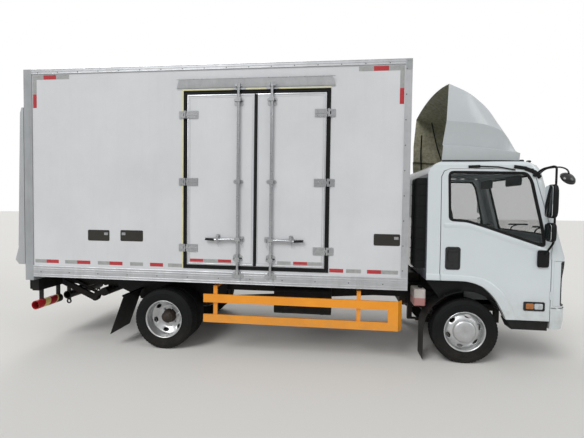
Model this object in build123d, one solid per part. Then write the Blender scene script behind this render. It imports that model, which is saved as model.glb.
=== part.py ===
from build123d import *
import math
import os

# Refrigerated box truck, two axles, with a tail lift stowed upright behind the box.
# Millimetres, +X forward, +Y to the driver's left, +Z up, ground at z = 0.

# Wheels and axles
wheelbase = 3845
front_overhang = 1193  # axle to the bumper's nose
tyre_radius = 398.5
tyre_width = 233
tyre_shoulder = 26
rim_radius = 232
front_track = 1687
rear_track = 1637
twin_spacing = 250
kingpin_y = 745
kingpin_radius = 22
knuckle_face = 36.5  # knuckle's outer face from the kingpin
eye_boss = 27  # round end of the axle beam at the kingpin
spring_half = 600  # leaf spring, middle to end
leaf_pitch = 16
leaf_thickness = 15.7
rear_spring_y = 500
seat_gap = 0.3  # between pieces that rest on each other

# Chassis frame
rail_half = 425  # outer face of each rail
rail_flange = 70
rail_height = 200
rail_bottom = 690
rail_plate = 8
cross_radius = 45

# Insulated box
box_length = 4911  # side walls, without the rear portal
box_gap = 733  # front axle to the box's front face
portal_depth = 117
box_bottom = 922
box_height = 2758
box_half = 1140
wall = 80
floor_depth = 130
deck_rise = 6  # load floor above the walls' foot
deck_inset = 2
rail_proud = 10
bottom_rail_height = 151
top_rail_height = 65
post_width = 82

# Side double door in the right wall, its middle measured from the front axle
door_middle = 2613
door_width = 1857
door_sill = 183  # above the box's bottom
door_height = 2249
seal = 45
leaf_gap = 6
leaf_proud = 10
hinge_pin_out = 24
strap_height = 95
strap_levels = (265, 1105, 1950)  # above the door's lower edge
bar_offset = 210
bar_radius = 17
bar_out = 42  # bar's axis from the wall
handle_level = 385
handle_reach = 415
bracket_levels = (135, 1110, 2120)
channel_height = 110

# Side guards, two rails each, measured from the front axle
guard_half = 1100
guard_depth = 25
guard_back = 3284
guard_front = 829
guard_rails = ((408, 510), (666, 772))
guard_posts = (3133, 1304)
guard_end = 121  # upright at the front end

# Mudguards round the front wheels, door steps and rear flaps
splash_radius = 508
splash_skin = 8
splash_in = 690
splash_out = 985
liner_low = 660
liner_clear = 15  # inside the doors' inner face
flap_low = 40
step_back = 468
step_front = 925
step_low = 472
step_top = 582
step_in = 800
stay_back = 640
stay_front = 700

# Tanks and silencer beside the frame, measured from the rear axle
fuel_back = 1450
fuel_front = 2200
fuel_half = 900
fuel_low = 500
fuel_high = 850
fuel_round = 60
silencer_back = 2250
silencer_front = 2760
silencer_radius = 110
silencer_y = 560
silencer_z = 640

# Cab
cab_half = 1000
cab_bottom = 590
cab_top = 2493
cab_wall = 60
cab_back = 492  # behind the front axle
roof_cut = 2412
shut_gap = 9
door_back = 324  # rear shut line behind the axle
door_front = 939  # front shut line ahead of the axle
fairing_wall = 8
fairing_lean = 62  # the rear edge leans forward by this much
mirror_half = 1225
cab_roof_wall = 45
rear_round = 200  # the cab's rear top corner, seen from the side
rear_return = 115  # rear wall piece, with the curve of that corner
corner_run = 190
corner_drop = 130
front_bow = 50
grille_half = 520
grille_low = 850
grille_high = 1180
lamp_back = 972  # lamp glass, rearmost, ahead of the axle
glass_inset = 22
glass_thickness = 5
windscreen_half = 850
windscreen_low = 1585
windscreen_high = 2365
bumper_bottom = 495
bumper_top = 745
floor_plate = 40
floor_level = 1062

# Rear lamp beam and underrun bar: a middle and two outer lengths
gap_in = 418
gap_out = 582
beam_half = 1050
lamp_low = 709
underrun_z = 505
underrun_radius = 60
underrun_wall = 6

# Recovery eyes under the rear bar
eye_y = 366
eye_thickness = 14
eye_z = 400
eye_radius = 20

# Tail lift, its pivots as (behind the box's rear plane, height)
platform_stand = 60  # clear of the rear plane
platform_root = 90
platform_heel = 50
platform_tip = 45
platform_height = 2125
platform_bottom = 1075
platform_half = 1080
arm_pivot_in = 594
arm_pivot_z = 500
knee_out = 61
knee_z = 790
platform_pivot_out = 136
platform_pivot_z = 985
link_dx = 30
link_dz = 70
arm_y = 500
arm_thickness = 40
link_y = 465
link_thickness = 20
lift_pin = 17
pin_slack = 0.3
lift_clear = 8
cross_back = 339  # the arms' cross tube from their pivot
cross_up = 129
cross_tube = 32

# Places that follow from the sizes
platform_out = platform_stand + platform_root + platform_heel
length = front_overhang + box_gap + box_length + portal_depth + platform_out
fa = length / 2 - front_overhang
ra = fa - wheelbase
box_front = fa - box_gap
box_rear = box_front - box_length
portal_rear = box_rear - portal_depth
box_top = box_bottom + box_height
wall_half = box_half - rail_proud
floor_top = box_bottom + floor_depth
rail_top = rail_bottom + rail_height
engine_back = fa - 690
portal_low = box_bottom - 50
spring_y = rail_half - rail_flange / 2
front_seat = tyre_radius - 50
rear_seat = tyre_radius + 85
door_axis_x = fa + door_front + shut_gap / 2
door_axis_y = cab_half + 2
hinge_levels = (900, 1380)
inner_half = wall_half - wall
portal_head = box_top - wall - 10
door_x0 = fa - door_middle - door_width / 2
door_x1 = fa - door_middle + door_width / 2
door_z0 = box_bottom + door_sill
door_z1 = door_z0 + door_height
channel_z = door_z1 + 28
hinge_in = 22
pin_y = -wall_half - hinge_pin_out


def block(x0, x1, y0, y1, z0, z1):
    return Pos((x0 + x1) / 2, (y0 + y1) / 2, (z0 + z1) / 2) * Box(abs(x1 - x0), abs(y1 - y0), abs(z1 - z0))


def slab_xz(points, y0, y1):
    # outline in X and Z, carried along Y from y0 to y1
    face = make_face(Polyline(*[(x, y0, z) for x, z in points], close=True))
    return extrude(face, amount=y1 - y0, dir=(0, 1, 0))


def slab_yz(points, x0, x1):
    face = make_face(Polyline(*[(x0, y, z) for y, z in points], close=True))
    return extrude(face, amount=x1 - x0, dir=(1, 0, 0))


def slab_xy(points, z0, z1):
    face = make_face(Polyline(*[(x, y, z0) for x, y in points], close=True))
    return extrude(face, amount=z1 - z0, dir=(0, 0, 1))


def rod(start, end, radius, bore=0):
    a, b = Vector(start), Vector(end)
    frame = Plane(origin=a, z_dir=b - a)
    ring = Circle(radius) - Circle(bore) if bore else Circle(radius)
    return extrude(frame * ring, amount=(b - a).length)


def flipped(shape):
    return mirror(shape, about=Plane.XZ)


def pair(shape):
    return [shape, flipped(shape)]


def fused(*shapes):
    body = shapes[0]
    for piece in shapes[1:]:
        body = body + piece
    return body


def solids_of(items):
    found = []
    for item in items:
        if isinstance(item, (list, tuple)):
            found += solids_of(item)
        else:
            found += list(item.solids())
    return found


def save(name, *items):
    os.makedirs("parts", exist_ok=True)
    found = solids_of(items)
    shape = found[0] if len(found) == 1 else Compound(children=found)
    export_step(shape, f"parts/{name}.step")


# Wheels: each profile is (radius, distance from the wheel's middle), turned about the axle
def turned(profile, x, y, out):
    points = [(x, y + out * across, tyre_radius + radius) for radius, across in profile]
    face = make_face(Polyline(*points, close=True))
    return revolve(face, axis=Axis((x, y, tyre_radius), (0, 1, 0)))


def tyre(x, y):
    half, shoulder = tyre_width / 2, tyre_shoulder
    bead = rim_radius + 4
    profile = [
        (bead, -half * 0.8),
        (bead + 60, -half),
        (tyre_radius - shoulder, -half + 6),
        (tyre_radius, -half + shoulder),
        (tyre_radius, half - shoulder),
        (tyre_radius - shoulder, half - 6),
        (bead + 60, half),
        (bead, half * 0.8),
    ]
    return turned(profile, x, y, 1)


def rim(x, y, out, dish, hub_radius, hub_out):
    # dish: how far the disc's middle stands out (+) or in (-) of the wheel's middle
    half = tyre_width / 2
    plate = 12
    barrel = [
        (rim_radius + 3, -half * 0.8),
        (rim_radius + 3, half * 0.8),
        (rim_radius + 12, half * 0.9),
        (rim_radius - 4, half * 0.9),
        (rim_radius - 12, half * 0.8),
        (rim_radius - 12, -half * 0.8),
    ]
    disc = [
        (0, dish),
        (hub_radius, dish),
        (rim_radius * 0.72, dish * 0.72),
        (rim_radius - 10, dish * 0.38),
        (rim_radius - 10, dish * 0.38 - plate),
        (rim_radius * 0.72, dish * 0.72 - plate),
        (hub_radius, dish - plate),
        (0, dish - plate),
    ]
    cap = [(0, dish), (0, hub_out), (hub_radius * 0.8, hub_out), (hub_radius, dish)]
    body = turned(barrel, x, y, out) + turned(disc, x, y, out) + turned(cap, x, y, out)
    for k in range(6):
        angle = math.radians(60 * k + 30)
        cx = x + rim_radius * 0.74 * math.cos(angle)
        cz = tyre_radius + rim_radius * 0.74 * math.sin(angle)
        hole = rod((cx, y - half, cz), (cx, y + half, cz), 24)
        body = body - hole
    return body


def wheels():
    front_y = front_track / 2
    outer_y = (rear_track + twin_spacing) / 2
    inner_y = (rear_track - twin_spacing) / 2
    for side, out in (("right", -1), ("left", 1)):
        save(f"front_wheel_{side}_tyre", tyre(fa, out * front_y))
        front_rim = rim(fa, out * front_y, out, 88, 130, 122)
        stub = hub_stub(fa, out * front_y, out, 76, front_y - kingpin_y - knuckle_face - seat_gap)
        save(f"front_wheel_{side}_rim", front_rim + stub)
        save(f"rear_wheel_{side}_tyres", tyre(ra, out * outer_y), tyre(ra, out * inner_y))
        outer_rim = rim(ra, out * outer_y, out, -84, 120, 20)
        inner_rim = rim(ra, out * inner_y, -out, -84, 120, -70)
        spacer = hub_stub(ra, out * outer_y, out, -90, twin_spacing - 90)
        drum = hub_stub(ra, out * inner_y, out, 90, inner_y - 560 - seat_gap)
        save(f"rear_wheel_{side}_rims", fused(outer_rim, inner_rim, spacer, drum))


def hub_stub(x, y, out, start, end):
    # drum of the hub, from start outside the wheel's middle to end inside it
    return rod((x, y + out * start, tyre_radius), (x, y - out * end, tyre_radius), 100)


def axles():
    # front beam drops below the engine and ends in forks round the kingpins
    z = tyre_radius
    low = z - 95
    beam = slab_yz(
        [
            (-kingpin_y + 60, z + 35), (-520, z - 25), (-440, low + 45), (440, low + 45), (520, z - 25),
            (kingpin_y - 60, z + 35), (kingpin_y - 60, z - 35), (520, z - 75), (440, low - 25),
            (-440, low - 25), (-520, z - 75), (-kingpin_y + 60, z - 35),
        ],
        fa - 40, fa + 40,
    )
    for side in (-1, 1):
        y = side * kingpin_y
        beam = beam + block(fa - eye_boss, fa + eye_boss, y - side * 62, y, z - 32, z + 32)
        beam = beam + rod((fa, y, z - 32), (fa, y, z + 32), eye_boss)
        beam = beam + rod((fa, y, z - 78), (fa, y, z + 78), kingpin_radius)
    save("front_axle_beam", beam)
    for side, out in (("right", -1), ("left", 1)):
        y = out * kingpin_y
        fork = fused(
            block(fa - 36, fa + 36, y - 36, y + 36, z + 37, z + 72),
            block(fa - 36, fa + 36, y - 36, y + 36, z - 72, z - 37),
        ) - rod((fa, y, z - 90), (fa, y, z + 90), kingpin_radius + pin_slack)
        # the stub stays clear of the wheel's drum
        plate = block(fa - 36, fa + 36, y + out * 31, y + out * knuckle_face, z - 72, z + 72)
        save(f"steering_knuckle_{side}", fork + plate)
    tube = rod((ra, -440, z), (ra, 440, z), 70)
    tube = tube + rod((ra, -560, z), (ra, 560, z), 55)
    bowl = Pos(ra, 0, z) * Sphere(190)
    bowl = bowl & block(ra - 150, ra + 150, -175, 175, z - 190, z + 190)
    shaft = rod((ra + 120, 0, z + 30), (engine_back - 4, 0, z + 260), 38)
    pad = block(ra - 60, ra + 60, rear_spring_y - 30, rear_spring_y + 30, z + 30, rear_seat - seat_gap)
    save("rear_axle_and_shaft", fused(tube, bowl, shaft, pad, flipped(pad)))
    leaves = []
    for x, y, seat, count in ((fa, spring_y, front_seat, 3), (ra, rear_spring_y, rear_seat, 4)):
        for k in range(count):
            half = spring_half - 110 * (count - 1 - k)
            z0 = seat + leaf_pitch * k
            leaves += pair(block(x - half, x + half, y - 32, y + 32, z0, z0 + leaf_thickness))
    save("leaf_springs", leaves)


def chassis():
    rail_front = fa + 900
    rail_back = box_rear + 2
    web = rail_half - rail_plate
    inner = rail_half - rail_flange
    one = block(rail_back, rail_front, web, rail_half, rail_bottom, rail_top)
    one = one + block(rail_back, rail_front, inner, rail_half, rail_bottom, rail_bottom + rail_plate)
    one = one + block(rail_back, rail_front, inner, rail_half, rail_top - rail_plate, rail_top)
    frame = one + flipped(one)
    for x in (fa + 860, fa - 820, ra + 1150, ra + 700, ra - 650, rail_back + 60):
        middle = (rail_bottom + rail_top) / 2
        frame = frame + rod((x, -web, middle), (x, web, middle), cross_radius)
    hangers = []
    for axle, y, seat, count in ((fa, spring_y, front_seat, 3), (ra, rear_spring_y, rear_seat, 4)):
        top = seat + leaf_pitch * (count - 1) + leaf_thickness + seat_gap
        for x in (axle - spring_half + 30, axle + spring_half - 30):
            hangers.append(block(x - 30, x + 30, y - 34, y + 34, top, rail_bottom + 22))
            if y > rail_half:
                hangers.append(block(x - 40, x + 40, web, y + 34, rail_bottom + 20, rail_bottom + 60))
    # exhaust silencer on its hanger, left of the frame
    ends = [(ra + x, silencer_y, silencer_z) for x in (silencer_back, silencer_front)]
    hangers.append(rod(*ends, silencer_radius))
    hangers.append(block(ra + 2480, ra + 2530, rail_half - 1, 500, 700, 760))
    for piece in hangers[:-2]:
        frame = frame + piece + flipped(piece)
    frame = frame + hangers[-2] + hangers[-1]
    # cab mounts
    for x in (fa - 380, fa + 800):
        mount = block(x - 45, x + 45, inner + 5, rail_half - 5, rail_top, floor_level - seat_gap)
        frame = frame + mount + flipped(mount)
    save("chassis_frame", frame)
    engine = block(engine_back, engine_back + 1020, -270, 270, 560, 1000)
    for x in (engine_back + 200, engine_back + 820):
        half = rail_half - rail_plate - 12
        foot = rail_bottom + rail_plate + seat_gap
        engine = engine + block(x - 50, x + 50, -half, half, foot, foot + 60)
    save("engine_block", engine)
    tank = block(ra + fuel_back, ra + fuel_front, -fuel_half, -rail_half - seat_gap, fuel_low, fuel_high)
    tank = fillet(tank.edges().filter_by(Axis.X), fuel_round)
    battery = block(ra + fuel_back + 50, ra + fuel_front - 100, rail_half + seat_gap, fuel_half - 50,
                    fuel_low + 40, fuel_high)
    save("fuel_tank_and_battery_box", tank, battery)


def side_guards():
    back, front = fa - guard_back, fa - guard_front
    out, inn = guard_half, guard_half - guard_depth
    low, high = guard_rails[0][0], guard_rails[-1][1]
    corner = [(front, out), (front + 54, out - 75), (front + 54, out - 100), (front, inn)]
    one = block(front - guard_end, front, inn, out, low, high) + slab_xy(corner, low, high)
    for z0, z1 in guard_rails:
        one = one + block(back, front, inn, out, z0, z1)
    for behind in guard_posts:
        x = fa - behind
        one = one + block(x - 25, x + 25, inn - 30, inn, low, rail_top - 8)
        one = one + block(x - 25, x + 25, rail_half, inn - 30, rail_top - 34, rail_top - 8)
    save("side_guards", pair(one))


def mudguards():
    r, top = splash_radius, tyre_radius + splash_radius + 1
    ring = rod((fa, splash_in, tyre_radius), (fa, splash_out, tyre_radius), r, r - splash_skin)
    liner = ring & block(fa - 41, fa + r, splash_in - 1, cab_half - cab_wall - liner_clear, liner_low, top)
    ring = (ring & block(fa - r, fa - 40, splash_in - 1, splash_out + 1, tyre_radius, top)) + liner
    flap = block(fa - r, fa - r + 6, splash_in + 10, splash_out - 5, flap_low, tyre_radius + 1)
    a = math.radians(120)
    x, z = fa + (r + 7) * math.cos(a), tyre_radius + (r + 7) * math.sin(a)
    stay = rod((x, rail_half, z), (x, splash_out - 5, z), 13)
    # step under the door, on an angle bolted to the frame's rail
    step = slab_xz([(fa + step_back, step_top), (fa + step_front, step_top), (fa + step_front, step_low),
                    (fa + step_back + 52, step_low)], step_in, splash_out)
    root = rail_half + seat_gap
    step = step + block(fa + stay_back, fa + stay_front, root, step_in + 10, step_low + 28, step_low + 58)
    step = step + block(fa + stay_back, fa + stay_front, root, rail_half + 12, step_low + 28, rail_top - 90)
    front = fused(ring, flap, stay)
    lean = [(ra - 552, 680), (ra - 558, 680), (ra - 746, 165), (ra - 740, 165)]
    rear = slab_xz(lean, 575, 1065)
    rear = rear + rod((ra - 560, rear_spring_y + 34 + seat_gap, 690), (ra - 560, 1065, 690), 15)
    save("mudguards", front, flipped(front), rear, flipped(rear), step, flipped(step))


def rear_beams():
    x0, x1 = portal_rear + 20, portal_rear + portal_depth
    tube_x = portal_rear + 64
    beams = [block(x0, x1, -gap_in, gap_in, lamp_low, portal_low)]
    outer = block(x0, x1, gap_out, beam_half, lamp_low, portal_low)
    lamp = block(x0 - 32, x0, gap_out + 60, beam_half - 10, lamp_low + 16, portal_low - 16)
    beams += pair(outer + lamp)
    save("rear_lamp_beam", beams)
    r = underrun_radius
    tube = rod((tube_x, gap_out, underrun_z), (tube_x, beam_half, underrun_z), r, r - underrun_wall)
    hanger = block(tube_x - 30, tube_x + 30, gap_out + 20, gap_out + 34, underrun_z, lamp_low)
    second = block(tube_x - 30, tube_x + 30, beam_half - 120, beam_half - 106, underrun_z, lamp_low)
    bore = rod((tube_x, -beam_half, underrun_z), (tube_x, beam_half, underrun_z), r - 2)
    outer = tube + ((hanger + second) - bore)
    middle = rod((tube_x, -gap_in, underrun_z), (tube_x, gap_in, underrun_z), r, r - underrun_wall)
    # middle brackets reach below the tube and end in recovery eyes
    plate = block(tube_x - 30, tube_x + 30, eye_y, eye_y + eye_thickness, eye_z, lamp_low)
    plate = plate + rod((tube_x, eye_y, eye_z), (tube_x, eye_y + eye_thickness, eye_z), 38)
    plate = plate - rod((tube_x, 0, eye_z), (tube_x, gap_in, eye_z), eye_radius)
    plates = (plate + flipped(plate)) - bore
    save("underrun_bar", pair(outer), middle + plates)


def strip(points, half, y0, y1):
    # flat bar of even width along points in X and Z, round at each point
    body = None
    for (xa, za), (xb, zb) in zip(points, points[1:]):
        run = math.hypot(xb - xa, zb - za)
        ux, uz = (xb - xa) / run, (zb - za) / run
        piece = slab_xz([(xa - uz * half, za + ux * half), (xb - uz * half, zb + ux * half),
                         (xb + uz * half, zb - ux * half), (xa + uz * half, za - ux * half)], y0, y1)
        piece = piece + rod((xb, y0, zb), (xb, y1, zb), half)
        if body is None:
            body = piece + rod((xa, y0, za), (xa, y1, za), half)
        else:
            body = body + piece
    return body


def tail_lift():
    p1 = (portal_rear + arm_pivot_in, arm_pivot_z)
    knee = (portal_rear - knee_out, knee_z)
    p2 = (portal_rear - platform_pivot_out, platform_pivot_z)
    shift = (link_dx, link_dz)
    p3, knee2, p4 = [(x + shift[0], z + shift[1]) for x, z in (p1, knee, p2)]
    arm0, arm1 = arm_y - arm_thickness / 2, arm_y + arm_thickness / 2
    link0, link1 = link_y - link_thickness / 2, link_y + link_thickness / 2
    lug_in, lug_out = link0 - lift_clear, arm1 + lift_clear
    hole = lift_pin + pin_slack

    def bored(shape, points):
        for x, z in points:
            shape = shape - rod((x, 0, z), (x, 700, z), hole)
        return shape

    # beam with its lugs and pins
    beam = rod((p1[0] + 190, -600, p1[1] + 120), (p1[0] + 190, 600, p1[1] + 120), 60)
    fixed = beam
    for side in (1, -1):
        one = None
        for y0, y1 in ((lug_in - 12, lug_in), (lug_out, lug_out + 12)):
            lug = strip([p1, p3, (p1[0] + 190, p1[1] + 120)], 34, y0, y1)
            one = lug if one is None else one + lug
        for x, z in (p1, p3):
            one = one + rod((x, lug_in - 12, z), (x, lug_out + 12, z), lift_pin)
        foot = block(p1[0] + 150, p1[0] + 230, rail_half - rail_flange, rail_half, p1[1] + 120, rail_bottom)
        one = one + foot
        fixed = fixed + (one if side == 1 else flipped(one))
    save("lift_beam", fixed)

    arm = bored(strip([p1, knee, p2], 40, arm0, arm1), (p1, p2))
    # cross tube under the arms' line, so that the links pass over it when the lift is down
    cross_x, cross_z = p1[0] - cross_back, p1[1] + cross_up
    cross = rod((cross_x, -arm0, cross_z), (cross_x, arm0, cross_z), cross_tube)
    save("lift_arms", arm + flipped(arm) + cross)
    link = bored(strip([p3, knee2, p4], 20, link0, link1), (p3, p4))
    save("lift_links", pair(link))
    # knuckle plates outside each arm and link, with the pins of both
    inner = strip([p2, p4], 26, lug_in - 12, lug_in)
    outer = strip([p2, p4], 26, lug_out, lug_out + 12)
    pins = rod((p4[0], lug_in - 1, p4[1]), (p4[0], lug_out + 1, p4[1]), lift_pin)
    pins = pins + rod((p2[0], lug_in - 32, p2[1]), (p2[0], lug_out + 32, p2[1]), lift_pin)
    save("lift_knuckles", pair(inner + outer + pins))

    # platform: hollow-looking ribbed slab, thick at its root, with lugs on the knuckle's pin
    face = portal_rear - platform_stand
    low, top = platform_bottom, platform_bottom + platform_height
    section = [
        (face, low), (face, top), (face - platform_tip * 0.6, top),
        (face - platform_tip, top - 60), (face - platform_root, low + 240),
        (face - platform_root - platform_heel, low + 60), (face - platform_root, low),
    ]
    deck = slab_xz(section, -platform_half, platform_half)
    lugs = []
    for side in (1, -1):
        a, b = lug_in - 12 - lift_clear, lug_out + 12 + lift_clear
        deck = deck - block(face - 400, face + 10, side * a, side * b, low - 10, low + 45)
        for y0, y1 in ((a - 20, a), (b, b + 20)):
            lug = bored(strip([p2, (face - 50, low + 40)], 34, y0, y1), (p2,))
            lugs.append(lug if side == 1 else flipped(lug))
    for lug in lugs:
        deck = deck + lug
    save("lift_platform", deck)


# Insulated box
def box_body():
    web = rail_half - rail_flange
    bearers = [block(portal_rear + 120, box_front - 60, web, rail_half, rail_top, box_bottom)]
    bearers.append(flipped(bearers[0]))
    floor = block(box_rear, box_front, -wall_half, wall_half, box_bottom, floor_top)
    deck_half = inner_half - deck_inset
    deck_top = floor_top + deck_rise
    deck = block(box_rear, box_front - wall - deck_inset, -deck_half, deck_half, floor_top, deck_top)
    save("box_floor", fused(floor, deck, *bearers))
    under_roof = box_top - wall
    inside = wall_half - wall
    left = block(box_rear, box_front, inside, wall_half, floor_top, under_roof)
    save("box_left_wall", left)
    opening = block(door_x0, door_x1, -wall_half - 1, -inside + 1, door_z0, door_z1)
    save("box_right_wall", flipped(left) - opening)
    save("box_front_wall", block(box_front - wall, box_front, -inside, inside, floor_top, under_roof))
    save("box_roof", block(box_rear, box_front, -wall_half, wall_half, under_roof, box_top))
    low = block(box_rear, box_front, wall_half, box_half, box_bottom, box_bottom + bottom_rail_height)
    high = block(box_rear, box_front, wall_half, box_half, box_top - top_rail_height, box_top)
    post = block(box_front - post_width, box_front, wall_half, box_half,
                 box_bottom + bottom_rail_height, box_top - top_rail_height)
    rails = [fused(low, high, post)]
    save("box_edge_rails", rails, flipped(rails[0]))


def rain_channel():
    y, low, top = -wall_half, channel_z, channel_z + channel_height
    section = [(y, low), (y - 16, low), (y - 40, top), (y - 34, top), (y - 12, low + 8), (y, low + 8)]
    return slab_yz(section, door_x0 - 89, door_x1 + 50)


def rear_portal():
    opening = block(portal_rear - 1, box_rear + 1, -inner_half, inner_half, floor_top, portal_head)
    frame = block(portal_rear, box_rear, -box_half, box_half, portal_low, box_top) - opening
    save("rear_portal_frame", frame)
    doors = []
    for side in (-1, 1):
        door = block(portal_rear, portal_rear + 84, side * 4, side * (inner_half - 4),
                     floor_top + 4, portal_head - 4)
        bar_y = side * 180
        bar_x = portal_rear - 24
        bar = rod((bar_x, bar_y, floor_top - 30), (bar_x, bar_y, portal_head + 30), 14)
        door = door + bar
        for z in (floor_top + 10, portal_head - 70):
            door = door + block(portal_rear - 38, portal_rear, bar_y - 30, bar_y + 30, z, z + 60)
        edge = side * (inner_half + 40)
        for k in range(4):
            z = floor_top + 150 + 760 * k
            door = door + block(portal_rear - 12, portal_rear, side * (inner_half - 190), edge, z, z + 90)
            door = door + rod((portal_rear - 14, edge, z), (portal_rear - 14, edge, z + 90), 14)
        doors.append(door)
    save("rear_doors", doors)


def side_door():
    ring = block(door_x0, door_x1, -wall_half - 6, -wall_half + wall, door_z0, door_z1)
    ring = ring - block(door_x0 + seal, door_x1 - seal, -wall_half - 7, -wall_half + wall + 1,
                        door_z0 + seal, door_z1 - seal)
    save("side_door_frame", ring)
    middle = (door_x0 + door_x1) / 2
    face = -wall_half - leaf_proud
    bar_z0, bar_z1 = box_bottom + bottom_rail_height - 22, channel_z + 35
    keepers = []
    butt_height = 32 - seat_gap
    for name, hinge_x, side in (("rear", door_x0, 1), ("front", door_x1, -1)):
        # side is +1 when the leaf runs forward of its hinges
        x0 = hinge_x + side * (seal + leaf_gap)
        x1 = middle - side * leaf_gap / 2
        leaf = block(x0, x1, face, -wall_half + wall, door_z0 + seal + leaf_gap, door_z1 - seal - leaf_gap)
        save(f"side_door_{name}", leaf)
        bar_x, bar_y = middle - side * bar_offset, -wall_half - bar_out
        bar = rod((bar_x, bar_y, bar_z0), (bar_x, bar_y, bar_z1), bar_radius)
        for level in bracket_levels:
            z = door_z0 + level
            bar = bar + block(bar_x - 30, bar_x + 30, face, bar_y - 22, z - 25, z + 25)
        z = door_z0 + handle_level
        reach = side * handle_reach
        bar = bar + block(bar_x, bar_x - reach, bar_y - 8, bar_y + 4, z - 17, z + 17)
        bar = bar + block(bar_x - reach * 0.55, bar_x - reach * 0.7, face, bar_y - 14, z - 28, z + 28)
        straps = []
        axis_x = hinge_x + side * hinge_in
        for level in strap_levels:
            z0 = door_z0 + level - strap_height / 2
            plate = block(axis_x + side * 20, axis_x + side * 170, face - 10, face, z0, z0 + strap_height)
            barrel = rod((axis_x, pin_y, z0 + 32), (axis_x, pin_y, z0 + strap_height - 32), 13)
            arm = block(axis_x, axis_x + side * 30, face - 10, face - 4, z0 + 32, z0 + strap_height - 32)
            straps.append(plate + barrel + arm)
        save(f"side_door_{name}_hardware", bar, straps)
        lower, upper = (-box_half, box_bottom + 60, bar_z0 + 32), (-wall_half, channel_z - 25, channel_z - 3)
        for start, z0, z1 in (lower, upper):
            keepers.append(block(bar_x - 36, bar_x + 36, start, -box_half - 8, z0, z1))
        for level in strap_levels:
            z0 = door_z0 + level - strap_height / 2
            z1 = z0 + strap_height
            foot = block(axis_x - side * 80, axis_x - side * 24, -wall_half, -wall_half - 10, z0, z1)
            for a, b in ((z0, z0 + butt_height), (z1 - butt_height, z1)):
                foot = foot + block(axis_x - side * 24, axis_x, -wall_half - 10, pin_y - 4, a, b)
                foot = foot + rod((axis_x, pin_y, a), (axis_x, pin_y, b), 13)
            keepers.append(foot)
    save("side_door_fittings", keepers, rain_channel())


# Cab: level sections of lines and arcs, joined by ruled faces
# height, front at the middle, half width
cab_sections = (
    (cab_bottom, 1186, cab_half),
    (1350, 1186, cab_half),
    (1580, 1120, cab_half - 4),
    (2380, 903, cab_half - 38),
    (2450, 855, cab_half - 46),
    (cab_top, 775, cab_half - 72),
)


def cab_outline(z, front, half, inset):
    back = fa - cab_back + inset
    nose = fa + front - inset
    side = half - inset
    run = nose - corner_run + inset * 0.3
    turn = nose - front_bow
    bend = (run + (turn - run) * 0.72, side - corner_drop * 0.28)
    edges = [
        Line((back, side), (back, -side)),
        Line((back, -side), (run, -side)),
        ThreePointArc((run, -side), (bend[0], -bend[1]), (turn, -side + corner_drop)),
        ThreePointArc((turn, -side + corner_drop), (nose, 0), (turn, side - corner_drop)),
        ThreePointArc((turn, side - corner_drop), bend, (run, side)),
        Line((run, side), (back, side)),
    ]
    return Pos(0, 0, z) * make_face(edges)


def cab_form(inset, low, high):
    faces = []
    for k, (z, front, half) in enumerate(cab_sections):
        level = low if k == 0 else z
        if k == len(cab_sections) - 1:
            level = z - high
        if k == len(cab_sections) - 2:
            level = z - high * 0.6
        faces.append(cab_outline(level, front, half, inset))
    return loft(faces, ruled=True)


def rounded_rear(form, inset, top):
    # takes the corner between the rear face and the roof off along an arc
    r = rear_round - inset
    back = fa - cab_back + inset
    reach = r * (1 - math.sqrt(0.5))
    corner = make_face([
        Line((back - 10, top - r), (back - 10, top + 10)),
        Line((back - 10, top + 10), (back + r, top + 10)),
        Line((back + r, top + 10), (back + r, top)),
        ThreePointArc((back + r, top), (back + reach, top - reach), (back, top - r)),
        Line((back, top - r), (back - 10, top - r)),
    ])
    corner = Plane(origin=(0, cab_half + 20, 0), x_dir=(1, 0, 0), z_dir=(0, -1, 0)) * corner
    return form - extrude(corner, amount=2 * cab_half + 40, dir=(0, -1, 0))


# wheel opening's edge ahead of the axle, from the cab's rear to the door's front bottom
arch_edge = ((-80, 1038), (0, 1033), (75, 1017), (180, 971), (273, 890), (355, 786), (415, 668), (462, 560))


def cab_cut():
    points = [(fa - cab_back - 80, 1038)] + [(fa + x, z) for x, z in arch_edge]
    points += [(fa + arch_edge[-1][0], cab_bottom - 300), (fa - cab_back - 80, cab_bottom - 300)]
    return slab_xz(points, -cab_half - 50, cab_half + 50)


# door's corners: rear line, rounded top, windscreen pillar, front line; each with the way it grows
door_corners = (
    (-door_back, cab_bottom - 100, -1, 0), (-door_back, roof_cut - 110, -1, 0.4),
    (-door_back + 30, roof_cut - 42, -0.7, 0.7), (-door_back + 98, roof_cut - 14, -0.4, 1),
    (720, roof_cut - 14, 0.6, 1), (905, 1750, 1, 0.2),
    (door_front, 1512, 1, 0), (door_front, cab_bottom - 100, 1, 0),
)
# side window, from its rear lower corner
window_corners = (
    (-225, 1776, -1, -1), (-238, 2340, -1, 0.5), (-205, 2364, -0.5, 1), (650, 2354, 0.5, 1),
    (712, 2258, 1, 0.5), (838, 1690, 1, 0), (862, 1502, 1, 0), (838, 1484, 0.5, -1),
    (552, 1580, 0, -1), (188, 1702, 0, -1), (-20, 1764, 0, -1),
)


def outline(corners, grow):
    return [(fa + x + a * grow, z + b * grow) for x, z, a, b in corners]


# lamp's corners across the front: it rises round the cab's corner
lamp_corners = (
    (560, 775, -1, -1), (1020, 775, 1, -1), (1020, 1310, 1, 1), (912, 1310, -0.5, 1), (830, 1010, -1, 0.6),
    (560, 965, -1, 1),
)


def lamp_zone(grow):
    points = [(y + a * grow, z + b * grow) for y, z, a, b in lamp_corners]
    return slab_yz(points, fa + lamp_back - grow, fa + 1400)


def knuckle_rod(z0, z1, radius):
    return rod((door_axis_x, -door_axis_y, z0), (door_axis_x, -door_axis_y, z1), radius)


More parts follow.
